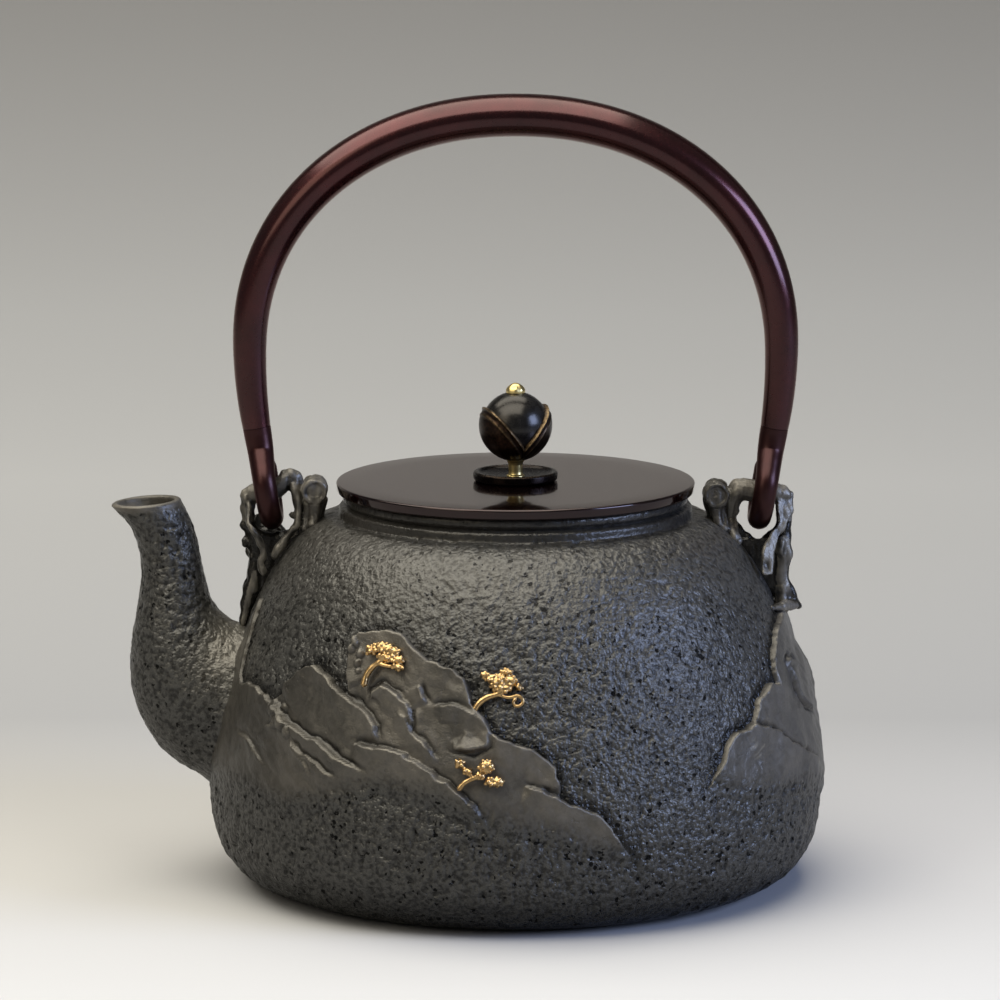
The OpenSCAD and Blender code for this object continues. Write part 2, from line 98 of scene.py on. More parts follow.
def step(low: float, high: float, value: Array) -> Array:
    """Rise smoothly from 0 at low to 1 at high."""
    t = np.clip((value - low) / (high - low), 0, 1)
    return t * t * (3 - 2 * t)


def mix(a: Number, b: Number, t: Number) -> Number:
    """Go from a at t = 0 to b at t = 1."""
    return a + (b - a) * t


def through(stations: Array, u: Array) -> Array:
    """Follow a smooth curve through stations.

    Args:
        stations: one row of values for each station.
        u: places along the curve, from 0 to the number of stations less 1.

    Returns:
        The values at each place, in a last axis as long as a row.
    """
    last = len(stations) - 1
    i = np.clip(np.floor(u).astype(int), 0, last - 1)
    f = (u - i)[..., None]
    a, b = stations[np.maximum(i - 1, 0)], stations[i]
    c, d = stations[i + 1], stations[np.minimum(i + 2, last)]
    return 0.5 * (2 * b + (c - a) * f + (2 * a - 5 * b + 4 * c - d) * f ** 2
                  + (3 * b - a - 3 * c + d) * f ** 3)


def resampled(line: Array, spacing: float) -> Array:
    """Space the points of a line evenly, about spacing apart.

    Args:
        line: its points, one row each.
        spacing: the distance aimed at.

    Returns:
        The new points.
    """
    lengths = np.r_[0, np.cumsum(np.linalg.norm(np.diff(line, axis=0), axis=1))]
    places = np.linspace(0, lengths[-1], max(2, round(lengths[-1] / spacing) + 1))
    return np.stack([np.interp(places, lengths, line[:, k]) for k in range(line.shape[1])], 1)


def noise(points: Array, size: float, seed: int = 0) -> Array:
    """Smooth random relief, the same each time.

    Args:
        points: places, with x, y and z in the last axis.
        size: the distance over which the relief changes, in the unit of points.
        seed: a whole number that picks one relief.

    Returns:
        A value of about -1 to 1 for each place.
    """
    p = points / size
    cell = np.floor(p).astype(np.int64)
    f = p - cell
    w = f ** 3 * (f * (f * 6 - 15) + 10)
    total = np.zeros(points.shape[:-1])
    for corner in itertools.product((0, 1), repeat=3):
        c = (cell + corner).astype(np.uint32)
        h = c[..., 0] * np.uint32(73856093) ^ c[..., 1] * np.uint32(19349663)
        h = h ^ c[..., 2] * np.uint32(83492791) ^ np.uint32(seed * 40503 + 977)
        h = (h ^ (h >> 15)) * np.uint32(2246822519)
        h = (h ^ (h >> 13)) * np.uint32(3266489917)
        h = h ^ (h >> 16)
        slope = np.stack([h & 1023, (h >> 10) & 1023, (h >> 20) & 1023], -1) / 511.5 - 1
        weight = np.prod(np.where(np.array(corner), w, 1 - w), -1)
        total += weight * (slope * (f - corner)).sum(-1)
    return total * 1.7


def cast_grain(points: Array) -> Array:
    """Height of the sand-cast skin in millimetres: an orange peel of lumps, with small pits.

    Args:
        points: places in millimetres.

    Returns:
        The height at each place.
    """
    drawn = points * [1, 1, 1.2]
    lumps = 0.12 * noise(points, 7.0, 1) + 0.15 * noise(drawn, 3.4, 2) + 0.16 * noise(drawn, 2.0, 3)
    pits = step(0.25, 0.65, noise(points, 2.1, 4)) * 0.42
    return lumps - pits


# ---- meshes ----


def linked(name: str, data: ID) -> Object:
    """Make an object of its data and link it to the scene.

    Args:
        name: the object's name.
        data: a mesh, a lamp or a camera.

    Returns:
        The new object.
    """
    obj = bpy.data.objects.new(name, data)
    bpy.context.scene.collection.objects.link(obj)
    return obj


def mesh_object(name: str, points: Array, faces: list, sharp: float = 180) -> Object:
    """Make a smooth-shaded object from points in millimetres.

    Args:
        name: the object's name.
        points: corner places, one row each.
        faces: corner numbers of each face, counter-clockwise seen from outside.
        sharp: faces that meet at more than this angle keep a sharp edge.

    Returns:
        The new object, linked to the scene.
    """
    mesh = bpy.data.meshes.new(name)
    mesh.from_pydata((np.asarray(points) * MM).tolist(), [], faces)
    mesh.shade_smooth()
    if sharp < 180:
        mesh.set_sharp_from_angle(angle=radians(sharp))
    return linked(name, mesh)


def read(items: bpy.types.bpy_prop_collection, field: str) -> Array:
    """Read three numbers for each corner of a mesh.

    Args:
        items: the mesh's corners, or their normals.
        field: the name of what is read.

    Returns:
        One row for each corner.
    """
    flat = np.empty(len(items) * 3, np.float32)
    items.foreach_get(field, flat)
    return flat.reshape(-1, 3).astype(float)


def corners_of(obj: Object) -> Array:
    """Read an object's corner places in millimetres."""
    return read(obj.data.vertices, "co") / MM


def normals_of(obj: Object) -> Array:
    """Read an object's corner normals."""
    return read(obj.data.vertex_normals, "vector")


def move_corners(obj: Object, points: Array) -> None:
    """Put an object's corners at new places in millimetres."""
    obj.data.vertices.foreach_set("co", (points * MM).astype(np.float32).ravel())
    obj.data.update()


def set_attribute(obj: Object, name: str, values: Array) -> None:
    """Store one number for each corner of an object, and 0 for those that the values don't reach.

    Args:
        obj: the object.
        name: the attribute's name.
        values: the numbers, in the order of the corners.
    """
    whole = np.zeros(len(obj.data.vertices), np.float32)
    whole[:values.size] = values.ravel()
    obj.data.attributes.new(name, "FLOAT", "POINT").data.foreach_set("value", whole)


def settle(obj: Object) -> Object:
    """Turn an object's live modifiers into plain mesh and remove them.

    Args:
        obj: the object.

    Returns:
        The same object.
    """
    graph = bpy.context.evaluated_depsgraph_get()
    mesh = bpy.data.meshes.new_from_object(obj.evaluated_get(graph))
    obj.modifiers.clear()
    old = obj.data
    obj.data = mesh
    bpy.data.meshes.remove(old)
    return obj


def ring_faces(low: int, high: int, n: int, m: int) -> list:
    """Join a ring of n corners to the next ring of m, where n and m are equal, 1, or 4 times apart.

    Args:
        low: number of the first corner of the first ring.
        high: number of the first corner of the next ring.
        n: corners of the first ring.
        m: corners of the next ring.

    Returns:
        The faces between the two rings.
    """
    if n == m:
        return [[low + k, low + (k + 1) % n, high + (k + 1) % n, high + k] for k in range(n)]
    if n == 1:
        return [[low, high + (k + 1) % m, high + k] for k in range(m)]
    if m == 1:
        return [[low + k, low + (k + 1) % n, high] for k in range(n)]
    faces = []
    fine_first = n > m
    coarse, fine = (high, low) if fine_first else (low, high)
    count = min(n, m)
    for j in range(count):
        c0, c1 = coarse + j, coarse + (j + 1) % count
        f = [fine + (4 * j + i) % (4 * count) for i in range(5)]
        fans = [[f[0], f[1], c0], [f[1], f[2], c0], [f[2], c1, c0], [f[2], f[3], c1], [f[3], f[4], c1]]
        faces += fans if fine_first else [fan[::-1] for fan in fans]
    return faces


def rings_mesh(rings: list[Array], closed: bool = False) -> Skin:
    """Join rings of corners one after another into a closed skin.

    Args:
        rings: corner places of each ring.
        closed: whether the last ring joins the first; if not, both are single corners.

    Returns:
        All corners and the faces between them.
    """
    starts = np.cumsum([0] + [len(ring) for ring in rings]).tolist()
    faces = []
    for i, ring in enumerate(rings if closed else rings[:-1]):
        j = (i + 1) % len(rings)
        faces += ring_faces(starts[i], starts[j], len(ring), len(rings[j]))
    return np.concatenate(rings), faces


def turned(radius: float, height: float, count: int) -> Array:
    """A ring of corners about Z, or its one corner where the radius is 0.

    Args:
        radius: its radius.
        height: its height.
        count: how many corners it has.

    Returns:
        The corners, one row each.
    """
    if radius < 1e-9:
        return np.array([[0.0, 0.0, height]])
    a = np.arange(count) * 2 * pi / count
    return np.stack([radius * np.sin(a), -radius * np.cos(a), np.full(count, float(height))], 1)


def lathed(name: str, line: Line, count: int, closed: bool = False, sharp: float = 35) -> Object:
    """Turn a line of radius and height, with its outside on its right, in count steps about Z."""
    return mesh_object(name, *rings_mesh([turned(r, z, count) for r, z in line], closed), sharp)


def rounded(line: Line, radius: float, steps: int = 4) -> Line:
    """Round every inner corner of a line by an arc-like bend of about radius.

    Args:
        line: its points.
        radius: how far from the corner a bend starts.
        steps: points of each bend.

    Returns:
        The new line.
    """
    p = np.array(line, float)
    out = [tuple(p[0])]
    for a, b, c in zip(p, p[1:], p[2:]):
        before, after = np.linalg.norm(b - a), np.linalg.norm(c - b)
        r = min(radius, before * 0.45, after * 0.45)
        start, end = b + (a - b) * r / before, b + (c - b) * r / after
        for t in np.linspace(0, 1, steps):
            out.append(tuple((1 - t) ** 2 * start + 2 * t * (1 - t) * b + t * t * end))
    return out + [tuple(p[-1])]


def tube(path: Array, radii: Array, sides: int = 14) -> Skin:
    """A round limb along a path, closed at both ends.

    Args:
        path: places along the middle.
        radii: the radius at each place.
        sides: corners of each ring.

    Returns:
        Corners and faces.
    """
    ahead = np.gradient(path, axis=0)
    ahead /= np.linalg.norm(ahead, axis=1)[:, None]
    side = np.cross(ahead, [0.31, 0.93, 0.17])
    side /= np.linalg.norm(side, axis=1)[:, None]
    other = np.cross(ahead, side)
    a = np.arange(sides)[:, None] * 2 * pi / sides
    rings = [p + r * (np.cos(a) * s + np.sin(a) * o) for p, r, s, o in zip(path, radii, side, other)]
    rings = [path[:1] - ahead[:1] * radii[0] * 0.8] + rings + [path[-1:] + ahead[-1:] * radii[-1] * 0.8]
    return rings_mesh(rings)


def joined(parts: list[Skin]) -> Skin:
    """Gather several meshes' corners and faces into one.

    Args:
        parts: the meshes.

    Returns:
        All their corners and faces.
    """
    points, faces, start = [], [], 0
    for corners, sides in parts:
        points.append(corners)
        faces += [[start + k for k in face] for face in sides]
        start += len(corners)
    return np.concatenate(points), faces


def fused(name: str, parts: list[Skin], voxel: float, smooth: int) -> Object:
    """Melt overlapping closed meshes into one skin.

    Args:
        name: the object's name.
        parts: the meshes.
        voxel: spacing of the new skin in millimetres.
        smooth: how many times it is smoothed.

    Returns:
        The new object.
    """
    obj = mesh_object(name, *joined(parts))
    remesh = obj.modifiers.new("melt", "REMESH")
    remesh.mode = "VOXEL"
    remesh.voxel_size = voxel * MM
    ease = obj.modifiers.new("ease", "SMOOTH")
    ease.factor = 0.5
    ease.iterations = smooth
    settle(obj)
    obj.data.shade_smooth()
    return obj


# ---- nodes ----

# the node types and settings that come up most
NOISE, RANGE, MATH, MIX = "ShaderNodeTexNoise", "ShaderNodeMapRange", "ShaderNodeMath", "ShaderNodeMix"
RAMP, BUMP = "ShaderNodeValToRGB", "ShaderNodeBump"
SMOOTH = {"interpolation_type": "SMOOTHSTEP"}
TIMES, PLUS, MINUS = {"operation": "MULTIPLY"}, {"operation": "ADD"}, {"operation": "SUBTRACT"}
COLOURS = {"data_type": "RGBA"}


def wire(tree: NodeTree, node: Node, **inputs: object) -> None:
    """Set or link a node's inputs.

    Args:
        tree: the shader or geometry tree.
        node: the node.
        **inputs: a value, an sRGB hex colour, an output socket, or a node whose first output in use
            is taken. Each is named by its input's label with _ for a space, or by i and a number.
    """
    for key, value in inputs.items():
        socket = node.inputs[int(key[1:]) if key[1:].isdigit() else key.replace("_", " ")]
        if isinstance(value, Node):
            value = next(output for output in value.outputs if output.enabled)
        if isinstance(value, NodeSocket):
            tree.links.new(value, socket)
        else:
            is_hex = isinstance(value, str) and value.startswith("#")
            socket.default_value = srgb(value) if is_hex else value


def add(tree: NodeTree, kind: str, settings: dict | None = None, **inputs: object) -> Node:
    """Add a node with its settings and links.

    Args:
        tree: the shader or geometry tree.
        kind: the node's type name.
        settings: its properties and, as "stops", a ramp's places and sRGB hex colours.
        **inputs: its inputs, as wire takes them.

    Returns:
        The new node.
    """
    node = tree.nodes.new(kind)
    for key, value in (settings or {}).items():
        if key != "stops":
            setattr(node, key, value)
            continue
        elements = node.color_ramp.elements
        while len(elements) < len(value):
            elements.new(0.5)
        for element, (place, code) in zip(elements, value):
            element.position, element.color = place, srgb(code)
    wire(tree, node, **inputs)
    return node


class Finish:
    """A surface finish, built once and shared by the pieces that have it."""

    name: str

    def dress(self, tree: NodeTree, shader: Node) -> None:
        """Add the finish's nodes in front of its shader."""
        raise NotImplementedError

    def material(self) -> Material:
        """Build the material, or find it if it is there already.

        Returns:
            The material.
        """
        found = bpy.data.materials.get(self.name)
        if found:
            return found
        material = bpy.data.materials.new(self.name)
        material.use_nodes = True
        tree = material.node_tree
        self.dress(tree, tree.nodes["Principled BSDF"])
        return material

    def put_on(self, obj: Object) -> Object:
        """Give an object this finish alone.

        Args:
            obj: the object.

        Returns:
            The same object.
        """
        obj.data.materials.clear()
        obj.data.materials.append(self.material())
        return obj


@dataclass(frozen=True)
class CastIron(Finish):
    """Sand-cast iron, burnished and baked with lacquer and tea: near black, with a dull sheen on
    each grain; its pits are painted near black and without sheen, as painted shade. Where it was
    tooled smooth in the mould it is a little warmer and more even, its crests are rubbed grey with a
    painted highlight, and painted shade lies dark and glossy in its corners."""

    name: str = "cast_iron"
    skin: str = "#53524f"
    skin_deep: str = "#2e2d2b"
    # painted into the pits as their shade
    pit: str = "#080808"
    tooled: str = "#77726a"
    tooled_deep: str = "#524f49"
    # rubbed bare metal, and the painted highlight on crests and faces
    worn: str = "#958f83"
    # painted shade, near black; where it lies the iron is glossier too
    lacquer: str = "#0d0c0b"
    metallic: float = 0.45
    skin_rough: float = 0.34
    tooled_rough: float = 0.42
    lacquer_rough: float = 0.25
    grain_mm: float = 1.15      # width of the grains of the orange peel
    grain_rise: float = 0.52    # their height, in millimetres of the noise's full swing
    pit_mm: float = 1.6         # distance between pits
    pit_r: float = 0.54         # radius of the larger pits
    pit_depth: float = 0.45     # their depth in millimetres
    tear_mm: float = 0.7        # width of the bends in the pits' edges
    tear: float = 1.5           # how far in millimetres these bends go
    patch_mm: float = 24.0      # width of the warm and cool patches of the patina

    def dress(self, tree: NodeTree, shader: Node) -> None:
        """Grain, pits painted dark as shade, patina, rubbed crests with a painted highlight, and glossy
        painted shade.

        Args:
            tree: the material's tree.
            shader: its shader.
        """
        place = add(tree, "ShaderNodeTexCoord").outputs["Object"]
        # rough skin; rubbed edges with painted highlight; painted shade
        rough, crest, soot = [add(tree, "ShaderNodeAttribute", {"attribute_name": name}).outputs["Fac"]
                              for name in (GRAIN, WEAR_HIGHLIGHT, SHADE_GLOSS)]
        grain = add(tree, NOISE, Vector=place, Scale=1 / (self.grain_mm * MM), Detail=1.6)
        fine = add(tree, NOISE, Vector=place, Scale=1 / (self.grain_mm * 0.4 * MM), Roughness=0.6)
        patch = add(tree, NOISE, Vector=place, Scale=1 / (self.patch_mm * MM), Detail=3, Roughness=0.55)
        streak = add(tree, NOISE, Vector=place, Scale=1 / (self.patch_mm * 0.12 * MM), Detail=4,
                     Roughness=0.65, Distortion=0.5)
        pits = self.pits(tree, place, grain)

        skin = add(tree, RAMP, {"stops": [(0.36, self.skin_deep), (0.56, self.skin)]}, Fac=grain)
        # the pits painted near black: painted shade
        skin = add(tree, MIX, COLOURS, i0=add(tree, MATH, TIMES, i0=pits, i1=0.9), i6=skin, i7=self.pit)
        clouds = add(tree, MATH, PLUS, i0=add(tree, MATH, TIMES, i0=patch, i1=0.6),
                     i1=add(tree, MATH, TIMES, i0=streak, i1=0.4))
        tooled = add(tree, RAMP, {"stops": [(0.36, self.tooled_deep), (0.62, self.tooled)]}, Fac=clouds)
        colour = add(tree, MIX, COLOURS, i0=rough, i6=tooled, i7=skin)
        # lighter for rubbed edges and painted highlight, near black for painted shade
        for amount, share, code in ((crest, 0.75, self.worn), (soot, 0.9, self.lacquer)):
            amount = add(tree, MATH, TIMES, i0=amount, i1=share)
            colour = add(tree, MIX, COLOURS, i0=amount, i6=colour, i7=code)

        # no sheen in the pits: painted shade
        dull = add(tree, MATH, TIMES, i0=pits, i1=rough)
        metallic = add(tree, RANGE, SMOOTH, Value=dull, To_Min=self.metallic, To_Max=0)
        specular = add(tree, RANGE, SMOOTH, Value=dull, To_Min=0.5, To_Max=0.05)
        gloss = add(tree, RANGE, SMOOTH, Value=fine, From_Min=0.3, From_Max=0.7,
                    To_Min=self.skin_rough - 0.08, To_Max=self.skin_rough + 0.1)
        smooth = add(tree, RANGE, SMOOTH, Value=streak, From_Min=0.3, From_Max=0.7,
                     To_Min=self.tooled_rough - 0.08, To_Max=self.tooled_rough + 0.08)
        gloss = add(tree, MIX, i0=rough, i2=smooth, i3=gloss)
        # glossier where painted shade lies
        gloss = add(tree, MIX, i0=soot, i2=gloss, i3=self.lacquer_rough)

        relief = add(tree, MATH, PLUS, i0=add(tree, MATH, TIMES, i0=grain, i1=self.grain_rise),
                     i1=add(tree, MATH, TIMES, i0=pits, i1=-self.pit_depth))
        relief = add(tree, MATH, TIMES, i0=relief, i1=rough)
        for layer, rise in ((fine, 0.08), (streak, 0.12)):
            layer = add(tree, MATH, TIMES, i0=layer, i1=rise)
            relief = add(tree, MATH, PLUS, i0=relief, i1=layer)
        bump = add(tree, BUMP, Strength=1.0, Distance=1.0 * MM, Height=relief)
        wire(tree, shader, Base_Color=colour, Metallic=metallic, Specular_IOR_Level=specular,
             Roughness=gloss, Normal=bump)

    def pits(self, tree: NodeTree, place: NodeSocket, grain: Node) -> Node:
        """Pits of many sizes with torn edges, thick in some places and sparse in others.

        Args:
            tree: the material's tree.
            place: the Object coordinates.
            grain: the skin's grain, which frays the edges.

        Returns:
            A node that gives 1 in a pit and 0 outside it.
        """
        torn = add(tree, NOISE, Vector=place, Scale=1 / (self.tear_mm * MM)).outputs["Color"]
        torn = add(tree, "ShaderNodeVectorMath", {"operation": "SCALE"}, Vector=torn, Scale=self.tear * MM)
        bent = add(tree, "ShaderNodeVectorMath", PLUS, i0=place, i1=torn)
        cells = add(tree, "ShaderNodeTexVoronoi", Vector=bent, Scale=1 / (self.pit_mm * MM)).outputs
        reach = add(tree, RANGE, SMOOTH, Value=cells["Color"], From_Min=0.25, From_Max=0.75,
                    To_Max=self.pit_r / self.pit_mm + 0.15)
        sparse = add(tree, NOISE, Vector=place, Scale=1 / (self.pit_mm * 3.5 * MM), Detail=1)
        sparse = add(tree, RANGE, SMOOTH, Value=sparse, From_Min=0.35, From_Max=0.65, To_Min=0.6,
                     To_Max=1.1)
        frayed = add(tree, MATH, TIMES, i0=grain, i1=0.3)
        ragged = add(tree, MATH, PLUS, i0=cells["Distance"], i1=frayed)
        reach = add(tree, MATH, TIMES, i0=reach, i1=sparse)
        inside = add(tree, MATH, MINUS, i0=ragged, i1=reach)
        return add(tree, RANGE, SMOOTH, Value=inside, From_Min=-0.05, From_Max=0.02, To_Min=1, To_Max=0)


@dataclass(frozen=True)
class LacqueredCopper(Finish):
    """Copper coloured dark red-brown and sealed with clear lacquer: broad rosy highlights from the
    metal under a thin, sharper white one from the coat."""

    name: str
    colour: str
    deep: str
    rough: float
    coat: float
    coat_rough: float
    edge: str = "#ffffff"       # what tints the metal seen at a slant
    coat_ior: float = 1.5
    metallic: float = 0.9
    streak_mm: float = 14.0     # length of the faint clouds in the colour
    wipe_mm: float = 1.1        # width of the marks left by wiping the lacquer

    def dress(self, tree: NodeTree, shader: Node) -> None:
        """Clouded colour, faint wiping marks in the gloss.

        Args:
            tree: the material's tree.
            shader: its shader.
        """
        place = add(tree, "ShaderNodeTexCoord").outputs["Object"]
        cloud, wipe = [add(tree, NOISE, Vector=place, Scale=1 / (size * MM), Detail=3, Roughness=0.6)
                       for size in (self.streak_mm, self.wipe_mm)]
        colour = add(tree, RAMP, {"stops": [(0.3, self.deep), (0.7, self.colour)]}, Fac=cloud)
        gloss = add(tree, RANGE, SMOOTH, Value=wipe, From_Min=0.3, From_Max=0.7,
                    To_Min=self.rough - 0.03, To_Max=self.rough + 0.03)
        bump = add(tree, BUMP, Strength=0.05, Distance=0.05 * MM, Height=wipe)
        wire(tree, shader, Base_Color=colour, Metallic=self.metallic, Roughness=gloss,
             Specular_Tint=self.edge, Coat_Weight=self.coat, Coat_Roughness=self.coat_rough,
             Coat_IOR=self.coat_ior, Normal=bump)


@dataclass(frozen=True)
class PatinatedBronze(Finish):
    """Cast bronze browned with sulphur; handling has rubbed its raised rims back to yellow metal."""

    name: str
    colour: str
    deep: str
    worn: str
    rough: float
    grain_mm: float = 0.9       # width of the mottling
    metallic: float = 0.85

    def dress(self, tree: NodeTree, shader: Node) -> None:
        """Mottled brown, bare metal along rims.

        Args:
            tree: the material's tree.
            shader: its shader.
        """
        place = add(tree, "ShaderNodeTexCoord").outputs["Object"]
        mottle = add(tree, NOISE, Vector=place, Scale=1 / (self.grain_mm * MM), Detail=4, Roughness=0.65,
                     Distortion=0.3)
        rim = add(tree, "ShaderNodeAttribute", {"attribute_name": WEAR_HIGHLIGHT}).outputs["Fac"]
        wear = add(tree, RANGE, SMOOTH, Value=mottle, From_Min=0.38, From_Max=0.60, To_Min=0.25, To_Max=0.8)
        wear = add(tree, MATH, TIMES, i0=rim, i1=wear)
        colour = add(tree, RAMP, {"stops": [(0.35, self.deep), (0.68, self.colour)]}, Fac=mottle)
        colour = add(tree, MIX, COLOURS, i0=wear, i6=colour, i7=self.worn)
        gloss = add(tree, RANGE, SMOOTH, Value=mottle, From_Min=0.3, From_Max=0.7,
                    To_Min=self.rough - 0.06, To_Max=self.rough + 0.08)
        bump = add(tree, BUMP, Strength=0.25, Distance=0.08 * MM, Height=mottle)
        wire(tree, shader, Base_Color=colour, Metallic=self.metallic, Roughness=gloss, Normal=bump)


@dataclass(frozen=True)
class BareMetal(Finish):
    """Brass or gilt copper: full metal, bright on what stands out and browned in the hollows."""

    name: str
    colour: str
    hollow: str
    rough: float
    tarnish_mm: float           # width of the tarnished spots
    tarnish: float              # how much of the hollow's colour the spots take

    def dress(self, tree: NodeTree, shader: Node) -> None:
        """Tarnish in spots and in the hollows between lumps.

        Args:
            tree: the material's tree.
            shader: its shader.
        """
        place = add(tree, "ShaderNodeTexCoord").outputs["Object"]
        spots = add(tree, NOISE, Vector=place, Scale=1 / (self.tarnish_mm * MM), Detail=3, Roughness=0.6,
                    Distortion=0.5)
        hollow = add(tree, "ShaderNodeNewGeometry").outputs["Pointiness"]
        hollow = add(tree, RANGE, SMOOTH, Value=hollow, From_Min=0.42, From_Max=0.50, To_Min=1, To_Max=0)
        amount = add(tree, RANGE, SMOOTH, Value=spots, From_Min=0.45, From_Max=0.7)
        amount = add(tree, MATH, TIMES, i0=amount, i1=self.tarnish)
        amount = add(tree, MATH, {"operation": "MAXIMUM"}, i0=amount, i1=hollow)
        colour = add(tree, MIX, COLOURS, i0=amount, i6=self.colour, i7=self.hollow)
        gloss = add(tree, RANGE, SMOOTH, Value=amount, To_Min=self.rough, To_Max=self.rough + 0.3)
        bump = add(tree, BUMP, Strength=0.06, Distance=0.05 * MM, Height=spots)
        wire(tree, shader, Base_Color=colour, Metallic=1.0, Roughness=gloss, Normal=bump)


IRON = CastIron()
BAIL_COPPER = LacqueredCopper("red_lacquered_copper", "#4c2022", "#371819", 0.25, 0.65, 0.18, "#d6bcb4")
HOOK_COPPER = LacqueredCopper("rubbed_red_copper", "#3f1e1d", "#2f1617", 0.38, 0.35, 0.30, "#c8aaa2")
LID_COPPER = LacqueredCopper("dark_lacquered_copper", "#2c1918", "#221314", 0.17, 1.0, 0.05, "#f2e0d8", 1.42)
BROWN_BRONZE = PatinatedBronze("browned_bronze", "#3a291f", "#170f0b", "#a88f69", 0.33)
SMOKED_BRONZE = PatinatedBronze("smoked_bronze", "#1d1411", "#0f0b09", "#8f7452", 0.27)
BLACK_BRONZE = PatinatedBronze("blackened_bronze", "#403e3c", "#373533", "#6a665e", 0.25, 3.0)
BRASS = BareMetal("polished_brass", "#e6cf8e", "#a98548", 0.32, 3.0, 0.03)
GILT = BareMetal("gilt_copper", "#d6b27c", "#3a2614", 0.28, 0.8, 0.4)


# ---- geometry trees ----


def new_tree(name: str, inputs: list[tuple[str, str]]) -> tuple[NodeTree, dict]:
    """Start a geometry tree with named inputs.

    Args:
        name: the tree's name.
        inputs: the name and socket type of each input after the geometry.

    Returns:
        The tree, and its inputs' sockets by name.
    """
    tree = bpy.data.node_groups.new(name, "GeometryNodeTree")
    tree.interface.new_socket("Geometry", in_out="INPUT", socket_type="NodeSocketGeometry")
    tree.interface.new_socket("Geometry", in_out="OUTPUT", socket_type="NodeSocketGeometry")
    for label, kind in inputs:
        tree.interface.new_socket(label, in_out="INPUT", socket_type=kind)
    group = tree.nodes.new("NodeGroupInput")
    return tree, {socket.name: socket for socket in group.outputs}


def grow(obj: Object, tree: NodeTree, values: dict) -> Object:
    """Run a geometry tree on an object and keep its result as plain mesh.

    Args:
        obj: the object it starts from.
        tree: the tree.
        values: a value for each named input.

    Returns:
        The same object with its new mesh.
    """
    modifier = obj.modifiers.new(tree.name, "NODES")
    modifier.node_group = tree
    for item in tree.interface.items_tree:
        if item.in_out == "INPUT" and item.name in values:
            modifier[item.identifier] = values[item.name]
    return settle(obj)


def swept_tree() -> NodeTree:
    """A tree that sweeps a round section along a chain of edges.

    Each corner of the chain carries its radius as "girth" and, as "flat", how many times deeper
    than that the section is along Y, for a chain that lies in the XZ plane.

    Returns:
        The tree.
    """
    tree, given = new_tree("swept rod", [("Sides", "NodeSocketInt"), ("Material", "NodeSocketMaterial")])
    curve = add(tree, "GeometryNodeMeshToCurve", Mesh=given["Geometry"])
    girth, flat = [add(tree, "GeometryNodeInputNamedAttribute", {"data_type": "FLOAT"}, Name=name)
                   for name in ("girth", "flat")]
    section = add(tree, "GeometryNodeCurvePrimitiveCircle", Resolution=given["Sides"], Radius=1.0)
    rod = add(tree, "GeometryNodeCurveToMesh", Curve=curve, Profile_Curve=section, Scale=girth,
              Fill_Caps=True)
    place = add(tree, "ShaderNodeSeparateXYZ", Vector=add(tree, "GeometryNodeInputPosition")).outputs
    deep = add(tree, MATH, TIMES, i0=place["Y"], i1=flat)
    place = add(tree, "ShaderNodeCombineXYZ", X=place["X"], Y=deep, Z=place["Z"])
    rod = add(tree, "GeometryNodeSetPosition", Geometry=rod, Position=place)
    rod = add(tree, "GeometryNodeRealizeInstances", Geometry=rod)
    rod = add(tree, "GeometryNodeSetMaterial", Geometry=rod, Material=given["Material"])
    add(tree, "NodeGroupOutput", Geometry=rod)
    return tree


def needle_tree() -> NodeTree:
    """A tree that studs a cloud with small lumps, as tufts of pine needles are cast.

    Returns:
        The tree.
    """
    tree, given = new_tree("needle tufts", [
        ("Spacing", "NodeSocketFloat"), ("Smallest", "NodeSocketFloat"), ("Largest", "NodeSocketFloat"),
        ("Seed", "NodeSocketInt"), ("Material", "NodeSocketMaterial")])
    spots = add(tree, "GeometryNodeDistributePointsOnFaces", {"distribute_method": "POISSON"},
                Mesh=given["Geometry"], Distance_Min=given["Spacing"], Density_Max=4.0e6,
                Seed=given["Seed"])
    tuft = add(tree, "GeometryNodeMeshIcoSphere", Radius=1.0, Subdivisions=2)
    size = add(tree, "FunctionNodeRandomValue", i2=given["Smallest"], i3=given["Largest"],
               Seed=given["Seed"])
    tufts = add(tree, "GeometryNodeInstanceOnPoints", Points=spots, Instance=tuft, Scale=size)
    both = add(tree, "GeometryNodeJoinGeometry", Geometry=tufts)
    wire(tree, both, Geometry=given["Geometry"])
    whole = add(tree, "GeometryNodeRealizeInstances", Geometry=both)
    whole = add(tree, "GeometryNodeSetMaterial", Geometry=whole, Material=given["Material"])
    add(tree, "NodeGroupOutput", Geometry=whole)
    return tree


def swept(name: str, path: Array, girth: Array, flat: Array, sides: int,
          finish: Finish) -> Object:
    """Sweep a section along a path.

    Args:
        name: the object's name.
        path: places along the middle, in millimetres.
        girth: the section's radius at each place.
        flat: how many times deeper the section is along Y at each place.
        sides: corners of the section.
        finish: the rod's finish.

    Returns:
        The rod as plain mesh.
    """
    mesh = bpy.data.meshes.new(name)
    mesh.from_pydata((path * MM).tolist(), [(i, i + 1) for i in range(len(path) - 1)], [])
    obj = linked(name, mesh)
    set_attribute(obj, "girth", girth * MM)
    set_attribute(obj, "flat", flat)
    tree = bpy.data.node_groups.get("swept rod") or swept_tree()
    grow(obj, tree, {"Sides": sides, "Material": finish.material()})
    obj.data.shade_smooth()
    obj.data.set_sharp_from_angle(angle=radians(50))
    return obj


# ---- body ----


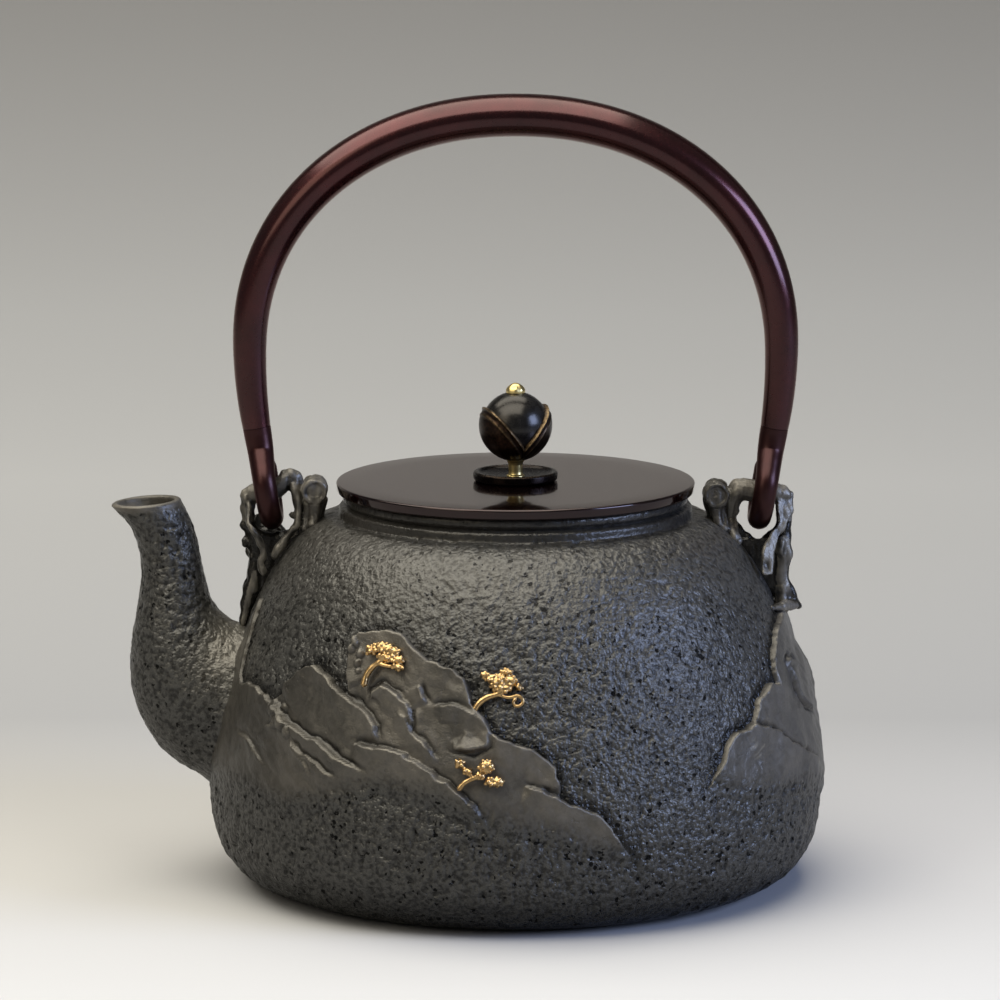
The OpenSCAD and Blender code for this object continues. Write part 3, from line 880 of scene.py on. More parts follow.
@dataclass(frozen=True)
class BodyShape:
    """The round body's outer line and its sizes."""

    body_r: float = 75.3
    belly_z: float = 26.0
    foot_r: float = 53.0
    shoulder_z: float = 90.3
    wall: float = 3.5
    floor_z: float = 5.2
    foot_hollow: float = 1.2
    foot_ring: float = 9.0
    navel_r: float = 9.0
    mouth_r: float = 37.5
    neck_r: float = 42.2
    neck_foot_r: float = 43.5
    neck_top: float = 96.0
    heel_power: float = 2.7

    @cached_property
    def outer(self) -> Array:
        """Radius and height along the outside, from the foot to the foot of the neck.

        Returns:
            One row for each point.
        """
        a = np.linspace(0, pi / 2, 240)
        heel = np.stack([
            self.foot_r + (self.body_r - self.foot_r) * np.sin(a) ** (2 / self.heel_power),
            self.belly_z * (1 - np.cos(a) ** (2 / self.heel_power))], 1)
        poles = np.array([
            (self.body_r, self.belly_z),
            (self.body_r, mix(self.belly_z, self.shoulder_z, 0.2)),
            (mix(self.neck_foot_r, self.body_r, 0.57), self.shoulder_z - 0.2),
            (self.neck_foot_r, self.shoulder_z)])
        t = np.linspace(0, 1, 240)[1:, None]
        wall = ((1 - t) ** 3 * poles[0] + 3 * (1 - t) ** 2 * t * poles[1]
                + 3 * (1 - t) * t ** 2 * poles[2] + t ** 3 * poles[3])
        return np.concatenate([heel, wall])

    def radius_at(self, height: Array) -> Array:
        """The outer radius at a height."""
        return np.interp(height, self.outer[:, 1], self.outer[:, 0])

    def slope_at(self, height: Array) -> tuple[Array, Array]:
        """The direction of the skin's normal at a height.

        Args:
            height: height above the table.

        Returns:
            Its outward and its upward part.
        """
        run = np.gradient(self.outer[:, 0])
        rise = np.gradient(self.outer[:, 1])
        size = np.hypot(run, rise)
        out = np.interp(height, self.outer[:, 1], rise / size)
        up = np.interp(height, self.outer[:, 1], -run / size)
        return out, up

    def place(self, azimuth: Array, height: Array, out: Number = 0) -> Array:
        """A point on the skin, or out millimetres off it.

        Args:
            azimuth: degrees from the front towards +X.
            height: height of the point on the skin.
            out: distance off the skin, along its normal.

        Returns:
            The place, with x, y and z in a last axis.
        """
        outward, upward = self.slope_at(height)
        r = self.radius_at(height) + out * outward
        a = np.radians(azimuth)
        return np.stack([r * np.sin(a), -r * np.cos(a), height + out * upward], -1)


SHAPE = BodyShape()


@dataclass
class CastBody:
    """The kettle's pot: a rough cast shell with a stepped neck and a way into the spout."""

    mountains: list[MountainRelief]
    fine: int = 600             # corners of a ring on the outside
    spacing: float = 0.92       # between rings on the outside
    neck_rough: float = 0.3     # how much of the skin's grain the neck has
    neck_shade_gloss: float = 0.7      # how much darker and glossier the neck is painted
    port_r: float = 10.5
    port_z: float = 43.9
    port_rise: float = 5.0

    def rings(self) -> tuple[list[Array], Array]:
        """Rings from the middle of the foot, over the neck, to the middle of the floor inside.

        Returns:
            The rings, and how rough the skin is at each corner.
        """
        s = SHAPE
        coarse = self.fine // 4
        hollow_r = s.foot_r - s.foot_ring
        under = [(0, 0), (s.navel_r, 0), (s.navel_r + s.foot_hollow, s.foot_hollow),
                 (0.6 * hollow_r, s.foot_hollow), (hollow_r, s.foot_hollow),
                 (hollow_r + s.foot_hollow, 0), (s.foot_r - 3, 0)]
        wall = resampled(s.outer, self.spacing)
        neck = resampled(np.array(rounded([
            (43.5, 90.3), (43.2, 90.9), (43.2, 92.37), (42.7, 92.87), (41.4, 93.15), (41.4, 93.44),
            (42.2, 94.0), (s.neck_r, 95.4), (41.6, s.neck_top), (39.5, s.neck_top)], 0.3)), 0.42)[1:]
        lip = [(38.3, s.neck_top), (s.mouth_r, s.neck_top - 0.5)]
        inside = [(s.mouth_r, 91), (s.mouth_r, 86.8)]
        inner = s.outer[(s.outer[:, 1] > s.floor_z + 1.5) & (s.outer[:, 1] < s.shoulder_z - s.wall)]
        outward, upward = s.slope_at(inner[:, 1])
        inner = inner - s.wall * np.stack([outward, upward], 1)
        inner = resampled(inner[::-1], 3.5)
        floor = [(inner[-1][0] - 3, s.floor_z), (35, s.floor_z), (15, s.floor_z), (0, s.floor_z)]
        sections = [(under, coarse, 0.0), (wall, self.fine, 1.0), (neck, self.fine, self.neck_rough),
                    (lip, coarse, 0.0), (inside, coarse, 0.0), (inner, coarse, 0.3), (floor, coarse, 0.0)]
        rings, rough = [], []
        for line, count, grain in sections:
            for r, z in line:
                rings.append(turned(r, z, count))
                fade = step(0.3, 4, z) if grain == 1 and r < s.body_r and z < s.belly_z else 1
                fade = fade * (1.4 - 0.7 * step(40, 84, z)) if grain == 1 else fade
                rough.append(np.full(len(rings[-1]), grain * fade))
        return rings, np.concatenate(rough)

    def build(self) -> Object:
        """Make the shell, roughen it and cut the way into the spout.

        Returns:
            The body.
        """
        rings, rough = self.rings()
        points, faces = rings_mesh(rings)
        shell = mesh_object("cast_body", points, faces)
        move_corners(shell, points + normals_of(shell) * (cast_grain(points) * rough)[:, None])
        set_attribute(shell, GRAIN, np.clip(rough * 1.2, 0, 1.6))
        set_attribute(shell, SHADE_GLOSS, self.soot(points))
        IRON.put_on(shell)
        port = self.port()
        cut = shell.modifiers.new("port", "BOOLEAN")
        cut.operation = "DIFFERENCE"
        cut.solver = "MANIFOLD"
        cut.object = port
        settle(shell)
        bpy.data.objects.remove(port)
        shell.data.shade_smooth()
        shell.data.set_sharp_from_angle(angle=radians(62))
        return shell

    def soot(self, points: Array) -> Array:
        """How dark and glossy each corner is painted: the neck, and painted shade at the foot of the body and
        round the mountains' edges.

        Args:
            points: the body's corners.

        Returns:
            0 to 1 for each corner.
        """
        high = points[:, 2]
        # the neck, painted darker and glossier
        soot = self.neck_shade_gloss * step(89.6, 90.6, high) * (np.hypot(points[:, 0], points[:, 1]) > 38)
        # painted shade at the foot, where the body meets the table
        soot = np.maximum(soot, 0.6 * (1 - step(4, 14, high)))
        azimuth = np.degrees(np.arctan2(points[:, 0], -points[:, 1]))
        for mountain in self.mountains:
            near = (high > 15) & (high < 85) & (azimuth > mountain.span[0]) & (azimuth < mountain.span[1])
            at = mountain.unrolled(np.stack([azimuth, high], 1))[near]
            off = mountain.inside(at, points[near])
            lost = step(-3, 3, mountain.above_fade(at))
            # painted shade on the skin at the foot of each mountain's drop
            dark = np.exp(-((off + 1.0) / 1.3) ** 2) * lost
            soot[near] = np.maximum(soot[near], dark)
        return soot

    def port(self) -> Object:
        """A plug of the size of the way into the spout, along -X.

        Returns:
            The plug.
        """
        a = np.arange(48) * 2 * pi / 48
        y = self.port_r * np.sin(a)
        z = self.port_z - self.port_r * np.cos(a) - self.port_rise * np.sign(np.cos(a))
        out, deep = [np.stack([np.full(48, x), y, z], 1) for x in (-90.0, -55.0)]
        tip, root = [np.array([[x, 0, self.port_z]]) for x in (-90.0, -55.0)]
        points, faces = rings_mesh([tip, out, deep, root])
        return mesh_object("port_plug", points, [face[::-1] for face in faces])


@dataclass
class Spout:
    """The cast spout: it swells low over the body's side and narrows to a beak with a smooth lip."""

    sides: int = 120
    rows: int = 150
    inner_rows: int = 40
    weld: float = 1.0           # how far the root spreads where it was welded to the body
    weld_mm: float = 5.0        # length of that spread
    depth: float = 1.5          # how deep the root sits in the body's wall

    # Each station: outer x and z, inner x and z, half width, wall; x is counted towards the spout
    stations: tuple = (
        (62.3, 21.0, 62.3, 60.0, 17.0, 3.0),
        (76.0, 24.8, 68.5, 63.0, 17.0, 3.0),
        (86.0, 31.0, 71.2, 64.8, 16.0, 3.0),
        (92.2, 40.0, 73.4, 67.0, 14.5, 3.0),
        (94.6, 50.0, 74.8, 69.5, 12.79, 3.0),
        (94.2, 60.0, 75.7, 72.5, 10.98, 2.8),
        (92.6, 68.5, 76.4, 75.8, 9.43, 2.6),
        (91.9, 76.0, 77.2, 80.0, 8.0, 2.48),
        (92.6, 82.5, 78.3, 85.0, 7.5, 2.22),
        (94.6, 87.6, 79.8, 89.2, 7.9, 1.96),
        (98.9, 92.3, 81.9, 93.6, 8.4, 1.7))

    def skin(self, u: Array, inward: float) -> Array:
        """Corners on the outer or inner skin.

        Args:
            u: place along the stations for each row and each of the sides.
            inward: 0 on the outer skin, 1 on the inner one.

        Returns:
            The corners, as rows by sides by x, y and z.
        """
        s = through(np.array(self.stations), u)
        t = np.arange(self.sides) * 2 * pi / self.sides
        middle = (s[..., :2] + s[..., 2:4]) / 2
        across = s[..., :2] - s[..., 2:4]
        half = np.linalg.norm(across, axis=-1) / 2
        across = across / (2 * half[..., None])
        a = half - s[..., 5] * inward
        b = s[..., 4] - s[..., 5] * inward
        return np.stack([-(middle[..., 0] + a * np.cos(t) * across[..., 0]), -b * np.sin(t),
                         middle[..., 1] + a * np.cos(t) * across[..., 1]], -1)

    def rows_from_wall(self, inward: float, rows: int) -> tuple[Array, Array]:
        """Rows of corners from inside the body's wall to the lip.

        Args:
            inward: 0 on the outer skin, 1 on the inner one.
            rows: how many rows.

        Returns:
            The rows, and each corner's distance from the body's skin.
        """
        last = len(self.stations) - 1
        u = np.repeat(np.linspace(0, last, 600)[:, None], self.sides, 1)
        p = self.skin(u, inward)
        off = np.hypot(p[..., 0], p[..., 1]) - SHAPE.radius_at(p[..., 2])
        inside = off < -self.depth
        first = len(u) - 1 - np.argmax(inside[::-1] & (u[::-1] < 4), axis=0)
        start = u[first, np.arange(self.sides)]
        u = start + (last - start) * np.linspace(0, 1, rows)[:, None]
        p = self.skin(u, inward)
        return p, np.hypot(p[..., 0], p[..., 1]) - SHAPE.radius_at(p[..., 2])

    def build(self) -> Object:
        """Make the spout with its bore, its lip and its wrinkled skin.

        Returns:
            The spout.
        """
        outer, off = self.rows_from_wall(0, self.rows)
        inner, _ = self.rows_from_wall(1, self.inner_rows)
        along = np.gradient(outer, axis=0)
        around = np.roll(outer, -1, 1) - np.roll(outer, 1, 1)
        normal = np.cross(around, along)
        normal /= np.linalg.norm(normal, axis=-1)[..., None]
        spread = self.weld * (1 - step(-self.depth, self.weld_mm, off)) ** 2
        from_lip = np.linspace(1, 0, self.rows)[:, None] * 100
        rough = np.clip(step(0.5, 6, from_lip), 0.12, 1) * np.ones(self.sides)
        grain = cast_grain(outer + 40) * 0.9
        outer = outer + normal * (spread + grain * rough)[..., None]
        lip_out, lip_in = outer[-1], inner[-1]
        middle, reach = (lip_out + lip_in) / 2, (lip_out - lip_in) / 2
        up = np.array([0.076, 0, 0.997]) * np.linalg.norm(reach, axis=1)[:, None] * 0.75
        lip = [middle + reach * cos(a) + up * sin(a) for a in np.linspace(0, pi, 7)[1:-1]]
        spout = mesh_object("spout_casting", *rings_mesh([*outer, *lip, *inner[::-1]], True))
        rubbed = 0.5 * np.exp(-((off - 4) / 6) ** 2) * np.exp(-((outer[..., 2] - 60) / 9) ** 2)
        set_attribute(spout, GRAIN, rough)
        set_attribute(spout, WEAR_HIGHLIGHT, rubbed)
        return IRON.put_on(spout)


# ---- mountains ----


@dataclass(frozen=True)
class Ridge:
    """A crest in the relief. The rock slopes away gently on the right of its way and drops steeply
    on its left."""

    line: Line                  # azimuth and height of its points
    rise: float                 # how far the crest stands off the skin
    reach: float                # how far the gentle slope reaches
    tapers: tuple[float, float] = (0.3, 0.3)   # part of its length over which each end sinks away


@dataclass
class MountainRelief:
    """A mountain cast on the side of the body: crests, slopes and a foot that fades into the skin."""

    name: str
    span: tuple[float, float]   # first and last azimuth
    skyline: Line               # the upper edge, towards +azimuth
    fade: Line                  # the line on which the rock is lost in the rough skin
    ridges: list[Ridge]
    swell: tuple[float, float, float, float, float]   # azimuth, height, two widths and rise of a bulge
    seed: int
    lumps: Sequence[tuple[float, float, float, float]] = ()   # azimuth, height, radius, rise of each
    base: float = 0.75          # least thickness of the rock
    lip: float = 0.06           # how far a crest's edge is turned up
    cliff: float = 0.7          # width of a steep drop
    polish: float = 0.8         # how bright a crest's line is: rubbed metal and a painted highlight
    hollow: float = 0.15        # how much painted shade lies where the rock is low
    trench: float = 0.35        # depth of the groove at the foot of a drop
    sunk: float = 0.85          # how deep the edge goes into the skin
    spacing: float = 0.34
    back: float = 2.4           # how far the hidden back lies under the skin
    no_highlight_before: float = -180.0   # azimuth up to which the edge gets no rubbed and painted highlight line
    painted_shade_before: float = -180.0   # azimuth up to which more painted shade lies on the rock
    scratches: tuple = ()       # lines rubbed bright by a tool

    def measured(self, line: Line, at: Array) -> tuple[Array, Array]:
        """Measure from points to a line on the skin.

        Args:
            line: azimuth and height of the line's points.
            at: unrolled places, in millimetres.

        Returns:
            The distance, positive on the right of the line's way, and the part of the line's
            length at which its nearest point lies.
        """
        p = self.unrolled(line)
        lengths = np.r_[0, np.cumsum(np.linalg.norm(np.diff(p, axis=0), axis=1))]
        best = np.full(at.shape[:-1], 1e9)
        side = np.zeros(at.shape[:-1])
        place = np.zeros(at.shape[:-1])
        for a, b, start in zip(p, p[1:], lengths):
            d = b - a
            size = np.linalg.norm(d)
            t = np.clip(((at - a) @ d) / size ** 2, 0, 1)
            gap = at - a - t[..., None] * d
            distance = np.linalg.norm(gap, axis=-1)
            turn = (gap[..., 0] * d[1] - gap[..., 1] * d[0]) / size
            near = (distance < best - 1e-7) | ((distance < best + 1e-7) & (np.abs(turn) > np.abs(side)))
            best = np.where(near, distance, best)
            side = np.where(near, turn, side)
            place = np.where(near, (start + t * size) / lengths[-1], place)
        return np.where(side < 0, -best, best), place

    @staticmethod
    def unrolled(points: Array | Sequence) -> Array:
        """Lay azimuth and height out flat in millimetres."""
        return np.asarray(points, float) * [radians(1) * SHAPE.body_r, 1.0]

    def wandered(self, at: Array, skin: Array) -> Array:
        """Shift places a little, so that lines measured from them are broken like rock.

        Args:
            at: unrolled places.
            skin: the same places on the skin.

        Returns:
            The shifted places.
        """
        broad = np.stack([noise(skin, 7, self.seed), noise(skin, 7, self.seed + 1)], -1)
        tight = np.stack([noise(skin, 2.4, self.seed + 2), noise(skin, 2.4, self.seed + 3)], -1)
        return at + 0.8 * broad + 0.5 * tight

    def inside(self, at: Array, skin: Array) -> Array:
        """How far inside the skyline places lie."""
        return self.measured(self.skyline, self.wandered(at, skin))[0]

    def above_fade(self, at: Array) -> Array:
        """How far above the line where the rock is lost places lie."""
        return -self.measured(self.fade, at)[0]

    def ridged(self, moved: Array) -> tuple[Array, Array, Array]:
        """Lay the ridges over one another.

        Args:
            moved: unrolled places, as wandered shifts them.

        Returns:
            The rock's height, how bright its crests are, rubbed and with a painted highlight, and how much
            painted shade lies on it.
        """
        rock = np.full(moved.shape[:-1], self.base)
        worn, soot = np.zeros(rock.shape), np.zeros(rock.shape)
        for ridge in self.ridges:
            off, place = self.measured(ridge.line, moved)
            first, last = ridge.tapers
            ends = step(0, first + 1e-6, place) * (1 - step(1 - last - 1e-6, 1, place))
            slope = np.where(off > 0, np.exp(-(np.abs(off) / ridge.reach) ** 1.15),
                             np.clip(1 + off / self.cliff, 0, 1))
            crest = self.lip * np.exp(-(off / 0.3) ** 2)
            own = (ridge.rise * slope + crest) * ends
            over = own > rock
            trench = np.exp(-((off + self.cliff + 0.35) / 0.55) ** 2) * ends
            # a rubbed line with a painted highlight along the crest
            worn = np.where(over, self.polish * np.exp(-((off - 0.05) / 0.15) ** 2) * ends, worn)
            # painted shade in the groove at the foot of the drop
            soot = np.where(over, 0, np.maximum(soot, trench * step(0.2, 1.0, ridge.rise - rock)))
            rock = np.maximum(rock, own) - self.trench * trench * ~over
        return rock, worn, soot

    def height(self, at: Array, skin: Array) -> tuple[Array, dict[str, Array]]:
        """How far the relief stands off the body's line.

        Args:
            at: unrolled places, in millimetres.
            skin: the same places on the skin, for the noise.

        Returns:
            The height, and the values of the surface's attributes.
        """
        moved = self.wandered(at, skin)
        inside = self.measured(self.skyline, moved)[0]
        edge = step(-self.cliff, 0.1, inside)
        rock, worn, soot = self.ridged(moved)
        # painted shade where the rock is low
        soot = np.maximum(soot, self.hollow * (1 - step(self.base, self.base + 1.1, rock)))
        turn = np.degrees(at[..., 0] / SHAPE.body_r)
        # more painted shade towards the left end of the rock
        soot = np.maximum(soot, 0.45 * (1 - step(self.painted_shade_before, self.painted_shade_before + 26, turn)))
        azimuth, height, wide, tall, rise = self.swell
        middle = self.unrolled([azimuth, height])
        rock = rock + rise * np.exp(-((at[..., 0] - middle[0]) / wide) ** 2
                                    - ((at[..., 1] - middle[1]) / tall) ** 2)
        for azimuth, height, radius, rise in self.lumps:
            middle = self.unrolled([azimuth, height])
            off = np.linalg.norm(moved - middle, axis=-1) / radius
            rock = rock + rise * np.sqrt(np.clip(1 - off ** 2, 0, 1))
            # each lump's top rubbed and given a painted highlight
            worn = np.maximum(worn, 0.5 * step(1, 0.4, off))
            # a ring of painted shade round each lump's foot
            soot = np.maximum(soot, 0.7 * np.exp(-((off - 1.15) / 0.2) ** 2))
        for line in self.scratches:
            off, place = self.measured(line, moved)
            worn = np.maximum(worn, np.exp(-(off / 0.3) ** 2) * (place > 0) * (place < 1))
        fall = np.stack([(0.78 * at[..., 0] - 0.62 * at[..., 1]) / 4,
                         0.62 * at[..., 0] + 0.78 * at[..., 1], np.zeros(edge.shape)], -1)
        rock = rock + 0.36 * noise(skin, 6.5, self.seed + 4) + 0.13 * noise(fall, 1.9, self.seed + 5)
        low = self.above_fade(at)
        strength = step(-2.5, 6.5, low)
        rough = 1 - step(0.5, 8, low)
        rough = np.clip(rough + 0.12, 0, 1) * step(-0.5, 0.3, inside)
        rock = rock * strength * edge - self.sunk * (1 - step(-3.5, 1.5, low) * edge)
        # painted shade just outside the skyline, at the foot of its drop
        soot = np.maximum(soot, (1 - step(-0.6, 0.0, inside)) * step(-2, 2, low))
        # a rubbed line with a painted highlight just inside the skyline
        rubbed = 0.35 * step(self.no_highlight_before, self.no_highlight_before + 4, turn)
        worn = np.maximum(worn, rubbed * np.exp(-((inside - 0.2) / 0.18) ** 2)) * strength
        patchy = step(-0.35, 0.35, noise(skin, 4.0, self.seed + 6))
        return rock + cast_grain(skin) * rough, {GRAIN: rough, WEAR_HIGHLIGHT: worn * patchy, SHADE_GLOSS: soot * strength}

    def build(self) -> Object:
        """Make the relief as one closed piece whose back lies inside the wall.

        Returns:
            The relief.
        """
        first, last = self.span
        columns = 4 * round(radians(last - first) * SHAPE.body_r / self.spacing / 4)
        azimuth = np.linspace(first, last, columns + 1)
        top = max(height for _, height in self.skyline) + 2.5
        bottom = min(height for _, height in self.fade) - 5.5
        rows = 4 * round((top - bottom) / self.spacing / 4)
        share = np.linspace(0, 1, rows + 1)[:, None]
        height = bottom + (top - bottom) * share + 0 * azimuth
        spread = np.repeat(azimuth[None], rows + 1, 0)
        flat = self.unrolled(np.stack([spread, height], -1))
        off, surface = self.height(flat, SHAPE.place(spread, height))
        front = SHAPE.place(spread, height, off)
        back = SHAPE.place(spread, height, -self.back)[::4, ::4]
        relief = mesh_object(self.name, *patch_mesh(front, back))
        for name, values in surface.items():
            set_attribute(relief, name, values)
        return IRON.put_on(relief)


def patch_mesh(front: Array, back: Array) -> Skin:
    """Close a fine front sheet with a back sheet that has every fourth of its rows and columns.

    Args:
        front: corners as rows, from the bottom, by columns, towards +azimuth.
        back: the same for the back.

    Returns:
        Corners and faces of the closed piece.
    """
    rows, columns = front.shape[:2]
    number = np.arange(rows * columns).reshape(rows, columns)
    hidden = np.arange(back.shape[0] * back.shape[1]).reshape(back.shape[:2]) + rows * columns
    faces = []
    for grid, way in ((number, 1), (hidden, -1)):
        quads = np.stack([grid[:-1, :-1], grid[:-1, 1:], grid[1:, 1:], grid[1:, :-1]], -1).reshape(-1, 4)
        faces += quads[:, ::way].tolist()
    borders = [(number[0], hidden[0]), (number[:, -1], hidden[:, -1]),
               (number[-1, ::-1], hidden[-1, ::-1]), (number[::-1, 0], hidden[::-1, 0])]
    for fine, coarse in borders:
        for j in range(len(coarse) - 1):
            f, c0, c1 = fine[4 * j:4 * j + 5].tolist(), int(coarse[j]), int(coarse[j + 1])
            faces += [[f[1], f[0], c0], [f[2], f[1], c0], [c1, f[2], c0], [f[3], f[2], c1], [f[4], f[3], c1]]
    return np.concatenate([front.reshape(-1, 3), back.reshape(-1, 3)]), faces


def front_mountain() -> MountainRelief:
    """The range to the left of the front, with a tail that runs down to the right.

    Returns:
        Its relief.
    """
    summit = [(-31, 53.7), (-34.5, 57.5), (-36.2, 61.5), (-36.4, 65.2), (-35.6, 67.9), (-34.3, 70.2),
              (-30.4, 71.3), (-24.5, 70.7), (-21.3, 68), (-18.2, 65.5), (-12.5, 63.9), (-10, 61.4),
              (-8.8, 58.2), (-7.5, 55.9), (-6.3, 53.7), (-4.7, 50.7), (-0.3, 47.1), (4.1, 45.1),
              (6.8, 42.3), (7.8, 38.3), (8, 35.6)]
    tail = [(0.2, 39.1), (4, 37.4), (7.7, 34.8), (12, 32.7), (15.7, 29.5), (18.4, 25.9), (20.7, 21.4)]
    left_peak = [(-53.2, 53), (-50.7, 56.6), (-48, 59.4), (-44, 62.1), (-40.4, 59.8), (-36.5, 56.5),
                 (-31, 53.7), (-27.2, 50.2), (-25.8, 45.7)]
    return MountainRelief(
        name="front_range",
        span=(-79.5, 25),
        skyline=[(-90, 74), (-80.5, 73), (-79, 70), (-77.5, 66), (-76, 62), (-74.5, 57), (-71.5, 53),
                 (-67.3, 52.8), (-62.5, 53.6), (-58, 52.1), (-55.5, 50.2), *left_peak[:6], (-35.3, 58),
                 *summit[3:-1], *tail[2:], (22, 17), (25, 10)],
        fade=[(-90, 24), (-78.3, 25.6), (-58.3, 28.1), (-47, 26.4), (-37.4, 29), (-25.1, 34.2),
              (-13.6, 31.9), (-5, 26.8), (5, 24.6), (13, 20.7), (19.6, 19.4), (26, 17)],
        ridges=[
            Ridge(summit, 2.4, 7, (0.1, 0.05)),
            Ridge(tail, 2, 6, (0.12, 0.08)),
            Ridge(left_peak, 2.3, 8, (0.08, 0.1)),
            Ridge([(-25.8, 45.7), (-29.9, 45.7), (-33.9, 45.9)], 1, 4, (0.2, 0.5)),
            Ridge([(-29.8, 54.6), (-29, 57.7), (-27.1, 59.5), (-24.4, 58.2), (-21.6, 55.5), (-20.2, 51.6),
                   (-20.9, 48.9)], 2.3, 4.5, (0.18, 0.18)),
            Ridge([(-18.1, 54.7), (-14.9, 55.6), (-10.7, 55.5), (-7.2, 54.2), (-5.1, 51), (-5.3, 47.1),
                   (-7.2, 45.7), (-10.9, 46.9), (-13.6, 49.4)], 2.5, 4.5, (0.18, 0.18)),
            Ridge([(-34, 45.9), (-29.9, 45.5), (-25.8, 45.1), (-22.3, 44.6), (-19.2, 43.3), (-15.1, 40.6),
                   (-12.2, 38.1), (-9.8, 35.4), (-8, 33.5), (-4.8, 28.2)], 2.9, 8, (0.15, 0.15)),
            Ridge([(-54.9, 52.7), (-47.8, 47.1), (-43.8, 46.1), (-39.4, 45.2), (-35.4, 42.4), (-31.9, 41),
                   (-28.8, 38.9), (-25.5, 36.1)], 2.5, 5.5, (0.12, 0.25)),
            Ridge([(-48.2, 45), (-44.3, 42.6), (-40.1, 40.3), (-36.2, 37.5), (-33, 35.9)], 2.1, 5),
            Ridge([(-67.3, 52.8), (-62.5, 53.6), (-58, 52.1), (-55.5, 49.5)], 1.3, 9, (0.2, 0.2)),
            Ridge([(-57, 40), (-55.9, 43.4), (-53.2, 46.4), (-50.4, 48)], 2.1, 5, (0.3, 0.2)),
            Ridge([(-70.4, 42.2), (-61.8, 42), (-56.1, 38.5), (-53, 36), (-49.9, 33.9)], 1.25, 10),
            Ridge([(-24.9, 57.1), (-20.3, 49.6), (-15.3, 44.6), (-12.4, 43.4)], 2, 3.5),
            Ridge([(-19.4, 61.6), (-18.4, 57.7), (-17.2, 55.1)], 2.2, 4),
            Ridge([(-48, 45.2), (-44, 42), (-40, 38.6), (-36.5, 35)], 1.9, 3, (0.2, 0.4)),
            Ridge([(-47, 44.2), (-43, 40), (-40.5, 36.4), (-38.5, 33.5)], 1.7, 3, (0.2, 0.4)),
        ],
        lumps=[(-54.6, 50.7, 2, 0.9), (-52.4, 49.8, 1.7, 1), (-50.6, 50.6, 1.5, 0.8),
               (-49.6, 47.6, 1.9, 1.1), (-47.8, 45.4, 1.4, 0.8), (-51.5, 47.4, 1.3, 0.7),
               (-36.2, 66.5, 1.2, 0.9), (-35, 67.8, 1.1, 0.9), (-34, 65.6, 1, 0.9),
               (-33.6, 63.6, 0.8, 0.8), (-33.2, 62.2, 0.7, 0.7)],
        swell=(-46, 41, 20, 12, 0.35),
        seed=11,
        painted_shade_before=-55, no_highlight_before=-70)


def side_mountain() -> MountainRelief:
    """The steep rock to the right, under the ear.

    Returns:
        Its relief.
    """
    edge = [(38, 34.3), (40.2, 38.1), (42.7, 41), (45.4, 44.9), (48.9, 46.2), (52.4, 47.6), (55.6, 51.7),
            (59.8, 54.1), (64.2, 53.4), (64.8, 57.6), (68, 62), (73.4, 65.4), (79.4, 67), (91.9, 67.2)]
    back = [(100, 64), (106.6, 58), (113, 54.5), (119.4, 47), (126.5, 43.5), (134, 37), (137, 31)]
    return MountainRelief(
        name="side_rock",
        span=(36, 139),
        skyline=[(34, 27), *edge, *back, (141, 24)],
        fade=[(34, 33), (38, 34.3), (41.6, 31.3), (48, 28.5), (55.8, 28.2), (66, 26.4), (86.7, 21.1),
              (100, 23), (115, 26), (130, 28), (141, 31)],
        ridges=[
            Ridge([*edge, *back], 1.5, 12, (0.03, 0.05)),
            Ridge([(45.4, 44.9), (51.1, 47.4), (56.3, 45.4), (62.6, 40.6), (71.3, 35.3), (87.1, 26)], 2.1,
                  12, (0.1, 0.35)),
            Ridge([(112, 52), (104, 54.5), (96, 52), (90, 46), (87, 40)], 1.7, 9),
            Ridge([(84, 43), (76, 46.5), (73.5, 51), (72.8, 56), (70.4, 60.6)], 1.7, 12, (0.3, 0.25)),
            Ridge([(132, 38), (120, 41), (108, 38.5), (96, 33)], 1.9, 9, (0.2, 0.3)),
            Ridge([(70, 56.2), (73.4, 57.6), (77, 56.2), (79.5, 53)], 1.8, 4),
        ],
        scratches=([(47, 41.2), (50.4, 43.6)], [(46.6, 39.6), (51.4, 42.6)], [(49.4, 39.4), (53.6, 41.6)],
                   [(48.2, 37.8), (52, 39.2)]),
        swell=(90, 48, 15, 10, 1),
        seed=31,
        lip=0.04,
        polish=0.4,
        trench=0.6)


# ---- pines ----


